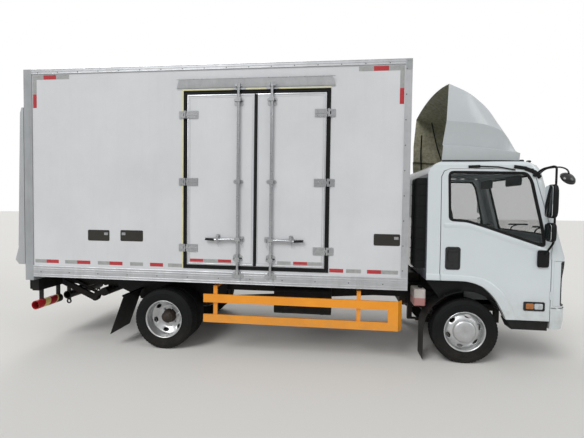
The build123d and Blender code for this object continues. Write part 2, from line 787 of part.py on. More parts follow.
def door_knuckles(door):
    # the door carries each hinge's middle knuckle, the front panel its upper and lower ones
    for z in hinge_levels:
        for a, b in ((z - 50, z - 20), (z + 20, z + 50)):
            door = door - knuckle_rod(a - 1, b + 1, 10)
        door = door + knuckle_rod(z - 20 + 1 + seat_gap, z + 20 - 1 - seat_gap, 9)
    return door


def panel_knuckles(panel):
    for z in hinge_levels:
        middle = knuckle_rod(z - 20 - 1, z + 20 + 1, 10)
        panel = panel - middle - flipped(middle)
        for a, b in ((z - 50, z - 20 + 1), (z + 20 - 1, z + 50)):
            knuckle = knuckle_rod(a, b, 9)
            panel = panel + knuckle + flipped(knuckle)
    return panel


def cab():
    outer = rounded_rear(cab_form(0, cab_bottom, 0), 0, cab_top)
    ceiling = cab_top - cab_roof_wall
    inner = rounded_rear(cab_form(cab_wall, cab_bottom - 60, cab_roof_wall), cab_wall, ceiling)
    shell = (outer - inner) - cab_cut()
    low = cab_bottom - 20
    glass = cab_form(glass_inset, low, 12) - cab_form(glass_inset + glass_thickness, low, 16)
    reach = (-cab_half - 50, -cab_half + 260)
    doors = slab_xz(outline(door_corners, 0), *reach)
    gaps = slab_xz(outline(door_corners, shut_gap), *reach)
    panes = slab_xz(outline(window_corners, 0), *reach)
    screen_front = fa + 2000
    screen_hole = slab_yz(screen_outline(0), fa + 500, screen_front)
    body = shell - gaps - flipped(gaps)
    front_zone = block(fa + door_front + shut_gap, fa + 1400, -cab_half - 10, cab_half + 10,
                       bumper_top + seat_gap, windscreen_low)
    grille_hole = block(fa + 900, fa + 1400, -grille_half, grille_half, grille_low, grille_high)
    lamp_hole = lamp_zone(0)
    roof_zone = block(fa - cab_back - 10, fa + 1400, -cab_half - 10, cab_half + 10, roof_cut, cab_top + 10)
    back_zone = block(fa - cab_back - 10, fa - cab_back + rear_return, -cab_half - 10, cab_half + 10,
                      cab_bottom, roof_cut)
    save("cab_roof", body & roof_zone)
    save("cab_rear_wall", body & back_zone)
    panel = (body & front_zone) - grille_hole - lamp_hole - flipped(lamp_hole)
    save("cab_front_panel", panel_knuckles(panel))
    lens = (outer & lamp_zone(-seat_gap)) - cab_form(45, cab_bottom - 60, 45)
    save("headlamps", pair(lens))
    # radiator grille: level bars before a closed plate
    back_plate = cab_form(30, cab_bottom - 30, 30) - cab_form(36, cab_bottom - 40, 36)
    half = grille_half - seat_gap
    zone = block(fa + 900, fa + 1400, -half, half, grille_low + seat_gap, grille_high - seat_gap)
    bars = None
    pitch = (grille_high - grille_low) / 5
    for k in range(5):
        z0 = grille_low + pitch * k + 12
        slot = block(fa + 900, fa + 1400, -half, half, z0, z0 + pitch * 0.55)
        bar = (outer - cab_form(34, cab_bottom - 60, 45)) & slot
        bars = bar if bars is None else bars + bar
    save("grille", bars + (back_plate & zone))
    low_zone = block(fa + 500, fa + 1400, -cab_half - 10, cab_half + 10, 0, bumper_top + 4)
    save("cab_pillars", body - roof_zone - back_zone - front_zone - low_zone - screen_hole)
    save("windscreen", (glass & slab_yz(screen_outline(-seat_gap), fa + 500, screen_front)))
    for side, turn in (("right", False), ("left", True)):
        door = door_knuckles((shell & doors) - panes)
        pane = glass & slab_xz(outline(window_corners, -seat_gap), *reach)
        if turn:
            door, pane = flipped(door), flipped(pane)
        save(f"cab_door_{side}", door)
        save(f"cab_door_{side}_glass", pane)


def fairing_section(x, side, lip, lip_z, edge, edge_z, top, top_z, mid_z, shrink):
    # base, lip, widest edge, upper corner and the crowned top, at one place along the roof
    base_z = cab_top + seat_gap - shrink * 20
    points = [(side, base_z), (lip, lip_z), (edge, edge_z), (top, top_z - shrink)]
    right = [(x, shrink - y, z) for y, z in points]
    left = [(x, y - shrink, z) for y, z in points[::-1]]
    edges = [Line(a, b) for a, b in zip(right, right[1:])]
    edges.append(ThreePointArc(right[-1], (x, 0, mid_z - shrink), left[0]))
    edges += [Line(a, b) for a, b in zip(left, left[1:])]
    edges.append(Line(left[-1], right[0]))
    return make_face(edges)


# place ahead of the axle; half widths of base, lip, edge and top, the last three with heights; crown
fairing_stations = (
    (-325, 930, 985, 2683, 1045, 2965, 1000, 3436, 3532),
    (-60, 930, 985, 2665, 1035, 2945, 965, 3322, 3415),
    (110, 928, 980, 2650, 1020, 2925, 910, 3218, 3308),
    (235, 925, 975, 2637, 1000, 2895, 862, 3117, 3198),
    (350, 920, 965, 2624, 970, 2850, 822, 2978, 3048),
    (425, 912, 955, 2616, 930, 2790, 800, 2886, 2940),
    (500, 900, 940, 2608, 890, 2700, 782, 2748, 2788),
    (548, 890, 925, 2604, 870, 2630, 775, 2655, 2682),
    (598, 870, 890, 2598, 850, 2602, 770, 2606, 2612),
)


def roof_fairing():
    skin = [fairing_section(fa + x, *rest, 0) for x, *rest in fairing_stations]
    hollow = [fairing_section(fa + x - 12, *rest, fairing_wall) for x, *rest in fairing_stations]
    rear, foot = fa + fairing_stations[0][0], fairing_stations[0][3]
    lean = slab_xz([(rear - 50, foot), (rear, foot), (rear + fairing_lean, box_top), (rear - 50, box_top)],
                   -box_half, box_half)
    save("roof_fairing", loft(skin, ruled=True) - loft(hollow, ruled=True) - lean)


def mirrors():
    for side, out in (("right", -1), ("left", 1)):
        y_tube = cab_half + 125
        top, low = 2425, 1540
        post = fa + 895
        front = post - 45
        route = [(fa + 728, cab_half - 22, 2318), (fa + 790, cab_half + 12, 2395), (post, y_tube, top),
                 (post, y_tube, low), (fa + 850, cab_half + 20, 1380)]
        path = FilletPolyline(*route, radius=40)
        arm = sweep(Plane(origin=path @ 0, z_dir=path % 0) * Circle(12), path=path)
        foot = block(fa + 775, fa + 905, cab_half + seat_gap, cab_half + 32, 1235, 1439)
        big = block(front - 30, post, y_tube - 95, mirror_half, 1822, 2210)
        big = fillet(big.edges().filter_by(Axis.Z), 18)
        small = block(front - 26, post, y_tube - 85, mirror_half - 5, 1550, 1770)
        small = fillet(small.edges().filter_by(Axis.Z), 16)
        body = arm + foot + big + small
        save(f"mirror_{side}", body if out == 1 else flipped(body))


def behind_cab():
    duct = block(fa - 640, fa - cab_back - seat_gap, -930, -720, 1170, 2290)
    save("air_intake_duct", fillet(duct.edges().group_by(Axis.X)[0], 45))
    tank = block(fa - 595, fa - 445, -820, -560, 660, 880)
    bracket = block(fa - 560, fa - 510, -580, -rail_half - seat_gap, 780, 800)
    save("coolant_tank", fillet(tank.edges(), 20) + bracket)


def screen_outline(grow):
    low, high = windscreen_low - grow, windscreen_high + grow
    return [(-windscreen_half - grow, low), (windscreen_half + grow, low),
            (windscreen_half - 40 + grow, high), (-windscreen_half + 40 - grow, high)]


def cab_inside():
    half = cab_half - cab_wall - 6
    back = fa - cab_back + cab_wall
    front = fa + door_front - 40
    level = floor_level
    deck = [(back, level), (fa + 130, level), (fa + 420, level - 130), (fa + 560, 640), (front, 640)]
    sheet = deck + [(x + (12 if z < level - 200 else 0), z + floor_plate) for x, z in deck[::-1]]
    edge = rail_half + 45
    well = slab_xz(sheet, edge - 1, half) + slab_xz(sheet, -half, -edge + 1)
    tunnel = block(back, front, -edge, edge, level, level + floor_plate)
    for side in (-1, 1):
        tunnel = tunnel + block(fa + 130, front, side * edge, side * (edge - 30), 640, level + 1)
    save("cab_floor", tunnel + well)
    seats = []
    for side in (-1, 1):
        y0, y1 = side * 250, side * 800
        cushion = block(fa - 180, fa + 330, y0, y1, level + 180, level + 330)
        riser = block(fa - 120, fa + 270, side * 330, side * 720, level + floor_plate, level + 180)
        rest = slab_xz([(fa - 180, level + 330), (fa - 50, level + 330), (fa - 170, level + 1080),
                        (fa - 270, level + 1080)], min(y0, y1) + 30, max(y0, y1) - 30)
        seats.append(fused(cushion, riser, rest))
    save("seats", seats)
    dash = slab_xz([(fa + 700, 1230), (fa + 850, 1230), (fa + 870, 1500), (fa + 800, 1540), (fa + 690, 1480)],
                   -cab_half + cab_wall + 30, cab_half - cab_wall - 30)
    dash = dash + block(fa + 840, fa + 1035, -560, 560, 1330, 1490)
    legs = block(fa + 720, fa + 840, -200, 200, level + floor_plate, 1230)
    wheel = Pos(fa + 600, 480, 1590) * Rot(0, 25, 0) * Torus(205, 16)
    spoke = Pos(fa + 600, 480, 1590) * Rot(0, 25, 0) * Box(400, 40, 16)
    column = rod((fa + 600, 480, 1590), (fa + 745, 480, 1375), 30)
    save("dashboard_and_steering_wheel", fused(dash, legs, wheel, spoke, column))


def cab_front():
    # bumper below the front panel
    nose = front_overhang
    levels = ((bumper_bottom, nose - 12, cab_half - 12), (600, nose, cab_half),
              (bumper_top - 18, nose - 1, cab_half - 2), (bumper_top, nose - 10, cab_half - 8))
    outer = loft([cab_outline(z, front, half, 0) for z, front, half in levels], ruled=True)
    ends = (bumper_bottom - 5, bumper_top + 5)
    inner = loft([cab_outline(z, nose, cab_half, 70) for z in ends], ruled=True)
    skin = outer - inner
    back = fa + door_front + shut_gap
    keep = block(back, fa + 1300, -cab_half - 10, cab_half + 10, bumper_bottom, bumper_top)
    mouth = block(fa + 1090, fa + 1300, -360, 360, 560, 640)
    bumper = (skin & keep) - mouth
    save("bumper", bumper)


if __name__ == "__main__":
    wheels()
    axles()
    chassis()
    box_body()
    rear_portal()
    side_door()
    side_guards()
    mudguards()
    rear_beams()
    tail_lift()
    cab()
    cab_inside()
    cab_front()
    roof_fairing()
    mirrors()
    behind_cab()
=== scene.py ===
import math

import bmesh
import bpy
import numpy as np
from mathutils import Matrix, Vector


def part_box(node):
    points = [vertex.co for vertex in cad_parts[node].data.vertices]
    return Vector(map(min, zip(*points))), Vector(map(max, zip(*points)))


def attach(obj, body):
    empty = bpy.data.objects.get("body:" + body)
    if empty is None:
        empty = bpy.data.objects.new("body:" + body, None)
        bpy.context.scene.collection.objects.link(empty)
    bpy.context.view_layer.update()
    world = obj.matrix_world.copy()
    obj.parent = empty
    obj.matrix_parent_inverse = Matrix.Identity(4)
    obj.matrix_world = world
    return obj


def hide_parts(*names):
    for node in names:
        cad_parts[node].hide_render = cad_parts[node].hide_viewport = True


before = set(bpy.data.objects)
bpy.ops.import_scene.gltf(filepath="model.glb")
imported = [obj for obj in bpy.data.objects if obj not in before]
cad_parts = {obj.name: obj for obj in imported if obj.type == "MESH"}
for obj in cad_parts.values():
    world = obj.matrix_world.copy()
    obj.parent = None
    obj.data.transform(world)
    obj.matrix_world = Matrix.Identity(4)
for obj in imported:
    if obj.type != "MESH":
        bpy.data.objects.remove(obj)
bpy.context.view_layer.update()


# Meshes: a part is (points, faces); a triangle's fourth corner is -1
def skin(rings, wrapRows=False, wrapCols=True, capped=True):
    # quads between neighbouring rings; each open end closed by triangles to its middle
    rows, cols = rings.shape[:2]
    i = np.arange(rows if wrapRows else rows - 1)[:, None]
    j = np.arange(cols if wrapCols else cols - 1)[None, :]
    ni, nj = (i + 1) % rows, (j + 1) % cols
    faces = np.broadcast_arrays(i * cols + j, ni * cols + j, ni * cols + nj, i * cols + nj)
    faces = np.stack(faces, -1).reshape(-1, 4)
    points = rings.reshape(-1, 3)
    for row in ((0, rows - 1) if capped and not wrapRows else ()):
        loop = row * cols + np.arange(cols)
        points = np.vstack([points, points[loop].mean(0)])
        fan = np.stack([loop, np.roll(loop, -1), np.full(cols, len(points) - 1), np.full(cols, -1)], -1)
        faces = np.vstack([faces, fan])
    return points, faces


def joined(*parts):
    # one part from several, each one's face numbers raised by the points before it
    counts = np.cumsum([0] + [len(points) for points, faces in parts])
    faces = [np.where(f < 0, f, f + counts[k]) for k, (points, f) in enumerate(parts)]
    return np.vstack([points for points, f in parts]), np.vstack(faces)


def repeated(part, places):
    # the part moved to each place: point p gives p + place
    points, faces = part
    places = np.asarray(places, float)
    moved = (places[:, None] + points[None]).reshape(-1, 3)
    steps = (np.arange(len(places)) * len(points))[:, None, None]
    return moved, np.where(faces[None] < 0, faces[None], faces[None] + steps).reshape(-1, 4)


def flipped(part):
    # (x, y, z) gives (x, -y, z)
    return part[0] * np.array([1, -1, 1]), part[1]


def bothSides(part):
    # the part and its mirror image across the truck
    return joined(part, flipped(part))


def lathe(profile, centre, out=1, steps=72):
    # a closed loop of (radius r, across w) turned to (x + r cos t, y + out w, z + r sin t)
    t = np.linspace(0, 2 * np.pi, steps, endpoint=False)[:, None]
    r, w = np.asarray(profile, float).T
    x, y, z = centre
    rings = np.stack([x + r * np.cos(t), y + out * w + 0 * t, z + r * np.sin(t)], -1)
    return skin(rings, wrapRows=True, capped=False)


def unit(v):
    # each vector over its length
    return v / np.maximum(np.linalg.norm(v, axis=-1, keepdims=True), 1e-9)


def carried(profile, path, up=(0, 1, 0), closed=False):
    # profile (a, b) at each path point p gives p + a m side + b up, with side across the path in the plane that
    # up is square to, and m the mitre at its corners
    path, up = np.asarray(path, float), unit(np.asarray(up, float))
    ahead = np.roll(path, -1, 0) - path
    if not closed:
        ahead[-1] = ahead[-2]
    ahead = unit(ahead)
    behind = np.roll(ahead, 1, 0)
    if not closed:
        behind[0] = ahead[0]
    along = unit(ahead + behind)
    side = unit(np.cross(along, up))
    mitre = 1 / np.maximum(0.35, (side * unit(np.cross(ahead, up))).sum(-1))
    lift = unit(np.cross(side, along))
    a, b = np.asarray(profile, float).T
    rings = path[:, None] + a[None, :, None] * (side * mitre[:, None])[:, None] + b[None, :, None] * lift[:, None]
    return skin(rings, wrapRows=closed, capped=not closed)


def bent(points, radius, closed=False, steps=6):
    # each corner c becomes (1-t)^2 p + 2 t (1-t) c + t^2 q, with p and q up to radius from it on its two runs
    p = np.asarray(points, float)
    before, after = np.roll(p, 1, 0), np.roll(p, -1, 0)
    toB, toA = before - p, after - p
    lenB, lenA = (np.linalg.norm(v, axis=1, keepdims=True) for v in (toB, toA))
    start = p + toB / lenB * np.minimum(radius, lenB * 0.45)
    end = p + toA / lenA * np.minimum(radius, lenA * 0.45)
    t = np.linspace(0, 1, steps)[None, :, None]
    arcs = (1 - t) ** 2 * start[:, None] + 2 * t * (1 - t) * p[:, None] + t ** 2 * end[:, None]
    if closed:
        return arcs.reshape(-1, 3)
    return np.vstack([p[:1], arcs[1:-1].reshape(-1, 3), p[-1:]])


def curve(points, count=40, closed=False):
    # a smooth line: from each point b to the next c it is the cubic whose slopes are (c - a) / 2 and (d - b) / 2
    p = np.asarray(points, float)
    ends = (p[-1:], p[:2]) if closed else (2 * p[:1] - p[1:2], 2 * p[-1:] - p[-2:-1])
    whole = np.vstack([ends[0], p, ends[1]])
    t = np.linspace(0, len(p) if closed else len(p) - 1, count, endpoint=not closed)
    k = np.minimum(t.astype(int), len(whole) - 4)
    f = (t - k)[:, None]
    a, b, c, d = (whole[k + n] for n in range(4))
    return b + 0.5 * f * (c - a + f * (2 * a - 5 * b + 4 * c - d + f * (3 * (b - c) + d - a)))


def cornered(keys, radius, steps=4):
    # rows of corners (rows, keys, 2): each inner corner c becomes (1-t)^2 p + 2 t (1-t) c + t^2 q, as in bent
    p, toB, toA = keys[:, 1:-1], keys[:, :-2] - keys[:, 1:-1], keys[:, 2:] - keys[:, 1:-1]
    lenB, lenA = (np.maximum(np.linalg.norm(v, axis=-1, keepdims=True), 1e-6) for v in (toB, toA))
    start, end = p + toB / lenB * np.minimum(radius, lenB * 0.45), p + toA / lenA * np.minimum(radius, lenA * 0.45)
    t = np.linspace(0, 1, steps)[None, None, :, None]
    arcs = (1 - t) ** 2 * start[:, :, None] + 2 * t * (1 - t) * p[:, :, None] + t ** 2 * end[:, :, None]
    return np.concatenate([keys[:, :1], arcs.reshape(len(keys), -1, 2), keys[:, -1:]], 1)


def shell(grid, thickness):
    # an open surface made a sheet: its back lies thickness behind the front along the normal, and a rim joins them
    normal = unit(np.cross(np.gradient(grid, axis=0), np.gradient(grid, axis=1)))
    rows, cols = grid.shape[:2]
    index = np.arange(rows * cols).reshape(rows, cols)
    edge = np.concatenate([index[0, :-1], index[:-1, -1], index[-1, :0:-1], index[:0:-1, 0]])
    after, back = np.roll(edge, -1), rows * cols
    rim = np.stack([edge, after, after + back, edge + back], -1)
    points, faces = joined(*[skin(side, wrapCols=False, capped=False) for side in (grid, grid - thickness * normal)])
    return points, np.vstack([faces, rim])


def turnedAbout(profile, centre, axis, steps=40):
    # a line of (radius r, height w) turned about an axis through centre: centre + r cos t u + r sin t v + w axis
    n = unit(np.asarray(axis, float))
    u = unit(np.cross(n, (0.31, 0.52, 0.79)))
    t = np.linspace(0, 2 * np.pi, steps, endpoint=False)
    ring = np.cos(t)[:, None] * u + np.sin(t)[:, None] * np.cross(n, u)
    return skin(np.stack([np.asarray(centre, float) + ring * r + n * w for r, w in profile]))


def dense(points, step=0.04, closed=False):
    # straight runs cut into lengths of about step
    p = np.asarray(points, float)
    q = np.roll(p, -1, 0) if closed else p[1:]
    p0 = p if closed else p[:-1]
    runs = [a + (b - a) * np.arange(n)[:, None] / n for a, b, n in
            ((a, b, max(1, int(np.linalg.norm(b - a) / step))) for a, b in zip(p0, q))]
    return np.vstack(runs if closed else runs + [p[-1:]])


def circle(radius, sides=12):
    # (r cos t, r sin t) at even steps of t round one turn
    t = np.linspace(0, 2 * np.pi, sides, endpoint=False)
    return np.stack([radius * np.cos(t), radius * np.sin(t)], -1)


def tube(points, radius, up=(0, 1, 0), bend=0.03, sides=12, closed=False):
    # a round rod along the points, its corners rounded by bend
    return carried(circle(radius, sides), bent(points, bend, closed), up, closed)


def plate(centre, size, normal="y", radius=0.003, edge=0.0008, corner=4):
    # a rectangle with quarter-circle corners, as four rings across its thickness, the outer two drawn in by edge
    u, v, w = {"x": (1, 2, 0), "y": (0, 2, 1), "z": (0, 1, 2)}[normal]
    half = np.array([size[u], size[v]]) / 2
    radius = min(radius, half.min() * 0.98)
    t = (np.linspace(0, np.pi / 2, corner + 1)[None] + np.arange(4)[:, None] * np.pi / 2).ravel()
    su, sv = np.repeat([1, -1, -1, 1], corner + 1), np.repeat([1, 1, -1, -1], corner + 1)
    thick = size[w] / 2
    edge = min(edge, thick * 0.9, radius * 0.9)
    rings = np.zeros((4, len(t), 3))
    for k, (shrink, level) in enumerate(((edge, -thick), (0, edge - thick), (0, thick - edge), (edge, thick))):
        rings[k, :, u] = su * (half[0] - radius) + (radius - shrink) * np.cos(t)
        rings[k, :, v] = sv * (half[1] - radius) + (radius - shrink) * np.sin(t)
        rings[k, :, w] = level
    return skin(rings + np.asarray(centre, float))


def pillow(centre, size, normal="y", power=5, crown=2.6, rings=9, sides=40):
    # |u|^power + |v|^power = 1, scaled over the thickness w by (1 - |w|^crown)^(1/crown)
    u, v, w = {"x": (1, 2, 0), "y": (0, 2, 1), "z": (0, 1, 2)}[normal]
    t = np.linspace(0, 2 * np.pi, sides, endpoint=False)
    c, s = np.cos(t), np.sin(t)
    reach = (np.abs(c) ** power + np.abs(s) ** power) ** (-1 / power)
    level = np.sin(np.linspace(-np.pi / 2, np.pi / 2, rings))
    scale = (1 - np.abs(level) ** crown) ** (1 / crown)
    out = np.zeros((rings, sides, 3))
    out[..., u] = scale[:, None] * reach * c * size[u] / 2
    out[..., v] = scale[:, None] * reach * s * size[v] / 2
    out[..., w] = level[:, None] * size[w] / 2
    return skin(out + np.asarray(centre, float))


def studs(places, radius, height, normal=(0, -1, 0), sides=8, rows=((1, 0), (1, 0.5), (0.78, 0.88), (0.35, 1))):
    # round or six-sided heads: circles of share r of the radius at share h of the height, along normal
    n = unit(np.asarray(normal, float))
    u = unit(np.cross(n, (0.31, 0.52, 0.79)))
    v = np.cross(n, u)
    t = np.linspace(0, 2 * np.pi, sides, endpoint=False)
    ring = np.cos(t)[:, None] * u + np.sin(t)[:, None] * v
    return repeated(skin(np.stack([ring * radius * r + n * height * h for r, h in rows])), places)


def hexHeads(places, radius, height, normal=(0, -1, 0)):
    # six-sided bolt heads with a bevelled top
    return studs(places, radius, height, normal, 6, ((1, 0), (1, 0.85), (0.86, 1)))


def spots(x, y, z):
    # points from numbers and arrays whose shapes fit
    return np.stack(np.broadcast_arrays(x, y, z), -1)


def lath(foot, crown, base, top):
    # profile of a strip: half width foot at level base, half width crown at level top
    return [(-foot, base), (-crown, top), (crown, top), (foot, base)]


def framed(xs, zs, y):
    # the corners of an upright rectangle at y
    return [(xs[0], y, zs[0]), (xs[1], y, zs[0]), (xs[1], y, zs[1]), (xs[0], y, zs[1])]


def between(xs, y, zs, thick):
    # centre and size of an upright sheet that fills the same rectangle
    return ((xs[0] + xs[1]) / 2, y, (zs[0] + zs[1]) / 2), (xs[1] - xs[0], thick, zs[1] - zs[0])


def collar(centre, radius, half):
    # a short upright bar, half its length above and below the centre
    x, y, z = centre
    return carried(circle(radius, 16), [(x, y, z - half), (x, y, z + half)])


def slab(points, axis, low, high):
    # a flat outline carried from low to high along one axis; the outline holds the other two coordinates in order
    points = np.asarray(points, float)
    return skin(np.stack([np.insert(points, "xyz".index(axis), level, axis=1) for level in (low, high)]))


def makePiece(name, part, finish, body="chassis", replaces=(), sharp=35):
    # the part as one object at the origin, welded, with its faces turned outwards
    points, faces = part
    mesh = bpy.data.meshes.new(name)
    mesh.from_pydata(points.tolist(), [], [f[:3] if f[3] < 0 else f for f in faces.tolist()])
    work = bmesh.new()
    work.from_mesh(mesh)
    bmesh.ops.remove_doubles(work, verts=work.verts, dist=1e-5)
    bmesh.ops.recalc_face_normals(work, faces=work.faces)
    work.to_mesh(mesh)
    work.free()
    mesh.polygons.foreach_set("use_smooth", np.ones(len(mesh.polygons), bool))
    mesh.set_sharp_from_angle(angle=math.radians(sharp))
    mesh.materials.append(made[finish])
    piece = bpy.data.objects.new(name, mesh)
    bpy.context.collection.objects.link(piece)
    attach(piece, body)
    if replaces:
        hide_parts(*replaces)
    return piece


def dress(finish, *nodes):
    # the finish on every material place of the nodes
    for node in nodes:
        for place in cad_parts[node].material_slots:
            place.material = made[finish]


def middle(node):
    # half the sum of the node's low and high corners
    low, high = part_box(node)
    return (low + high) / 2


# Colours and finishes
def linear(hexText):
    # sRGB share s gives s / 12.92 up to 0.04045, and ((s + 0.055) / 1.055)^2.4 above
    s = np.array([int(hexText[k:k + 2], 16) / 255 for k in (1, 3, 5)])
    return (*np.where(s <= 0.04045, s / 12.92, ((s + 0.055) / 1.055) ** 2.4).tolist(), 1.0)


def addNode(tree, kind, values=None, links=None, **settings):
    # one node with its settings, its inputs' values, and its inputs' links to other nodes' outputs
    node = tree.nodes.new("ShaderNode" + kind)
    for key, value in settings.items():
        setattr(node, key, value)
    for key, value in (values or {}).items():
        node.inputs[key].default_value = value
    for key, output in (links or {}).items():
        tree.links.new(output, node.inputs[key])
    return node


def maths(tree, operation, values, links):
    # the result of one operation on the values and links
    return addNode(tree, "Math", values, links, operation=operation).outputs[0]


def objectAxes(tree):
    # the place on the piece, as X, Y and Z
    return addNode(tree, "SeparateXYZ", {}, {0: addNode(tree, "TexCoord").outputs["Object"]}).outputs


def tinted(tree, share, under, tone):
    # the colour under, with a share of tone over it
    return addNode(tree, "Mix", {7: linear(tone)}, {0: share, 6: under}, data_type="RGBA").outputs[2]


def finishOf(name, colour, shade, patch, rough, grain, relief, spec={}):
    # base colour clouded with its shade, then streaks that run down, then road dust that fades upwards;
    # the same clouds vary the roughness, and a fine grain gives the bump
    material = bpy.data.materials.new(name)
    material.use_nodes = True
    tree = material.node_tree
    tree.nodes.clear()
    place = addNode(tree, "TexCoord").outputs["Object"]

    def noise(scale, detail, rough=0.5, vector=place):
        values = {"Scale": scale, "Detail": detail, "Roughness": rough}
        return addNode(tree, "TexNoise", values, {"Vector": vector}).outputs["Fac"]

    def ranged(value, start, end, low, high):
        # low at start and below, high at end and above, straight between
        values = {"From Min": start, "From Max": end, "To Min": low, "To Max": high}
        return addNode(tree, "MapRange", values, {"Value": value}).outputs["Result"]

    def stretched(scale):
        return addNode(tree, "Mapping", {"Scale": scale}, {"Vector": place}).outputs[0]

    cloud = noise(1 / patch, 5.0, 0.62)
    share = ranged(cloud, 0.35, 0.68, 0, spec.get("clouding", 0.8))
    base = addNode(tree, "Mix", {6: linear(colour), 7: linear(shade)}, {0: share}, data_type="RGBA").outputs[2]
    if "streak" in spec:
        tone, most = spec["streak"]
        drip = noise(1.4, 6.0, 0.7, stretched((11, 11, 0.7)))
        base = tinted(tree, ranged(drip, 0.5, 0.8, 0, most), base, tone)
    if "dust" in spec:
        tone, low, high, most = spec["dust"]
        fade = ranged(objectAxes(tree)["Z"], high, low, 0, most)
        patchy = ranged(noise(9.0, 8.0, 0.75), 0.38, 0.62, 0.25, 1)
        base = tinted(tree, maths(tree, "MULTIPLY", {}, {0: fade, 1: patchy}), base, tone)
    spread = spec.get("spread", 0.08)
    roughness = ranged(cloud, 0, 1, rough - spread, rough + spread)
    grainPlace = stretched(spec["brush"]) if "brush" in spec else place
    height = noise(1 / grain, 3.0, vector=grainPlace)
    if "wave" in spec:
        size, amount = spec["wave"]
        height = maths(tree, "MULTIPLY_ADD", {1: amount}, {0: noise(1 / size, 2.0), 2: height})
    bump = addNode(tree, "Bump", {"Strength": relief, "Distance": spec.get("depth", 0.0006)}, {"Height": height})
    shader = addNode(tree, "BsdfPrincipled", {
        "Metallic": spec.get("metal", 0.0), "IOR": spec.get("ior", 1.5), "Coat Weight": spec.get("coat", 0.0),
        "Coat Roughness": spec.get("coatRough", 0.05), "Alpha": spec.get("alpha", 1.0),
        "Sheen Weight": spec.get("sheen", 0.0)},
        {"Base Color": base, "Roughness": roughness, "Normal": bump.outputs["Normal"]})
    addNode(tree, "OutputMaterial", {}, {"Surface": shader.outputs[0]})
    return material


def paintOver(material, factor, tone):
    # a second colour over a finish, where factor is 1
    tree = material.node_tree
    shader = next(n for n in tree.nodes if n.bl_idname == "ShaderNodeBsdfPrincipled")
    under = shader.inputs["Base Color"].links[0].from_socket
    tree.links.new(tinted(tree, factor, under, tone), shader.inputs["Base Color"])


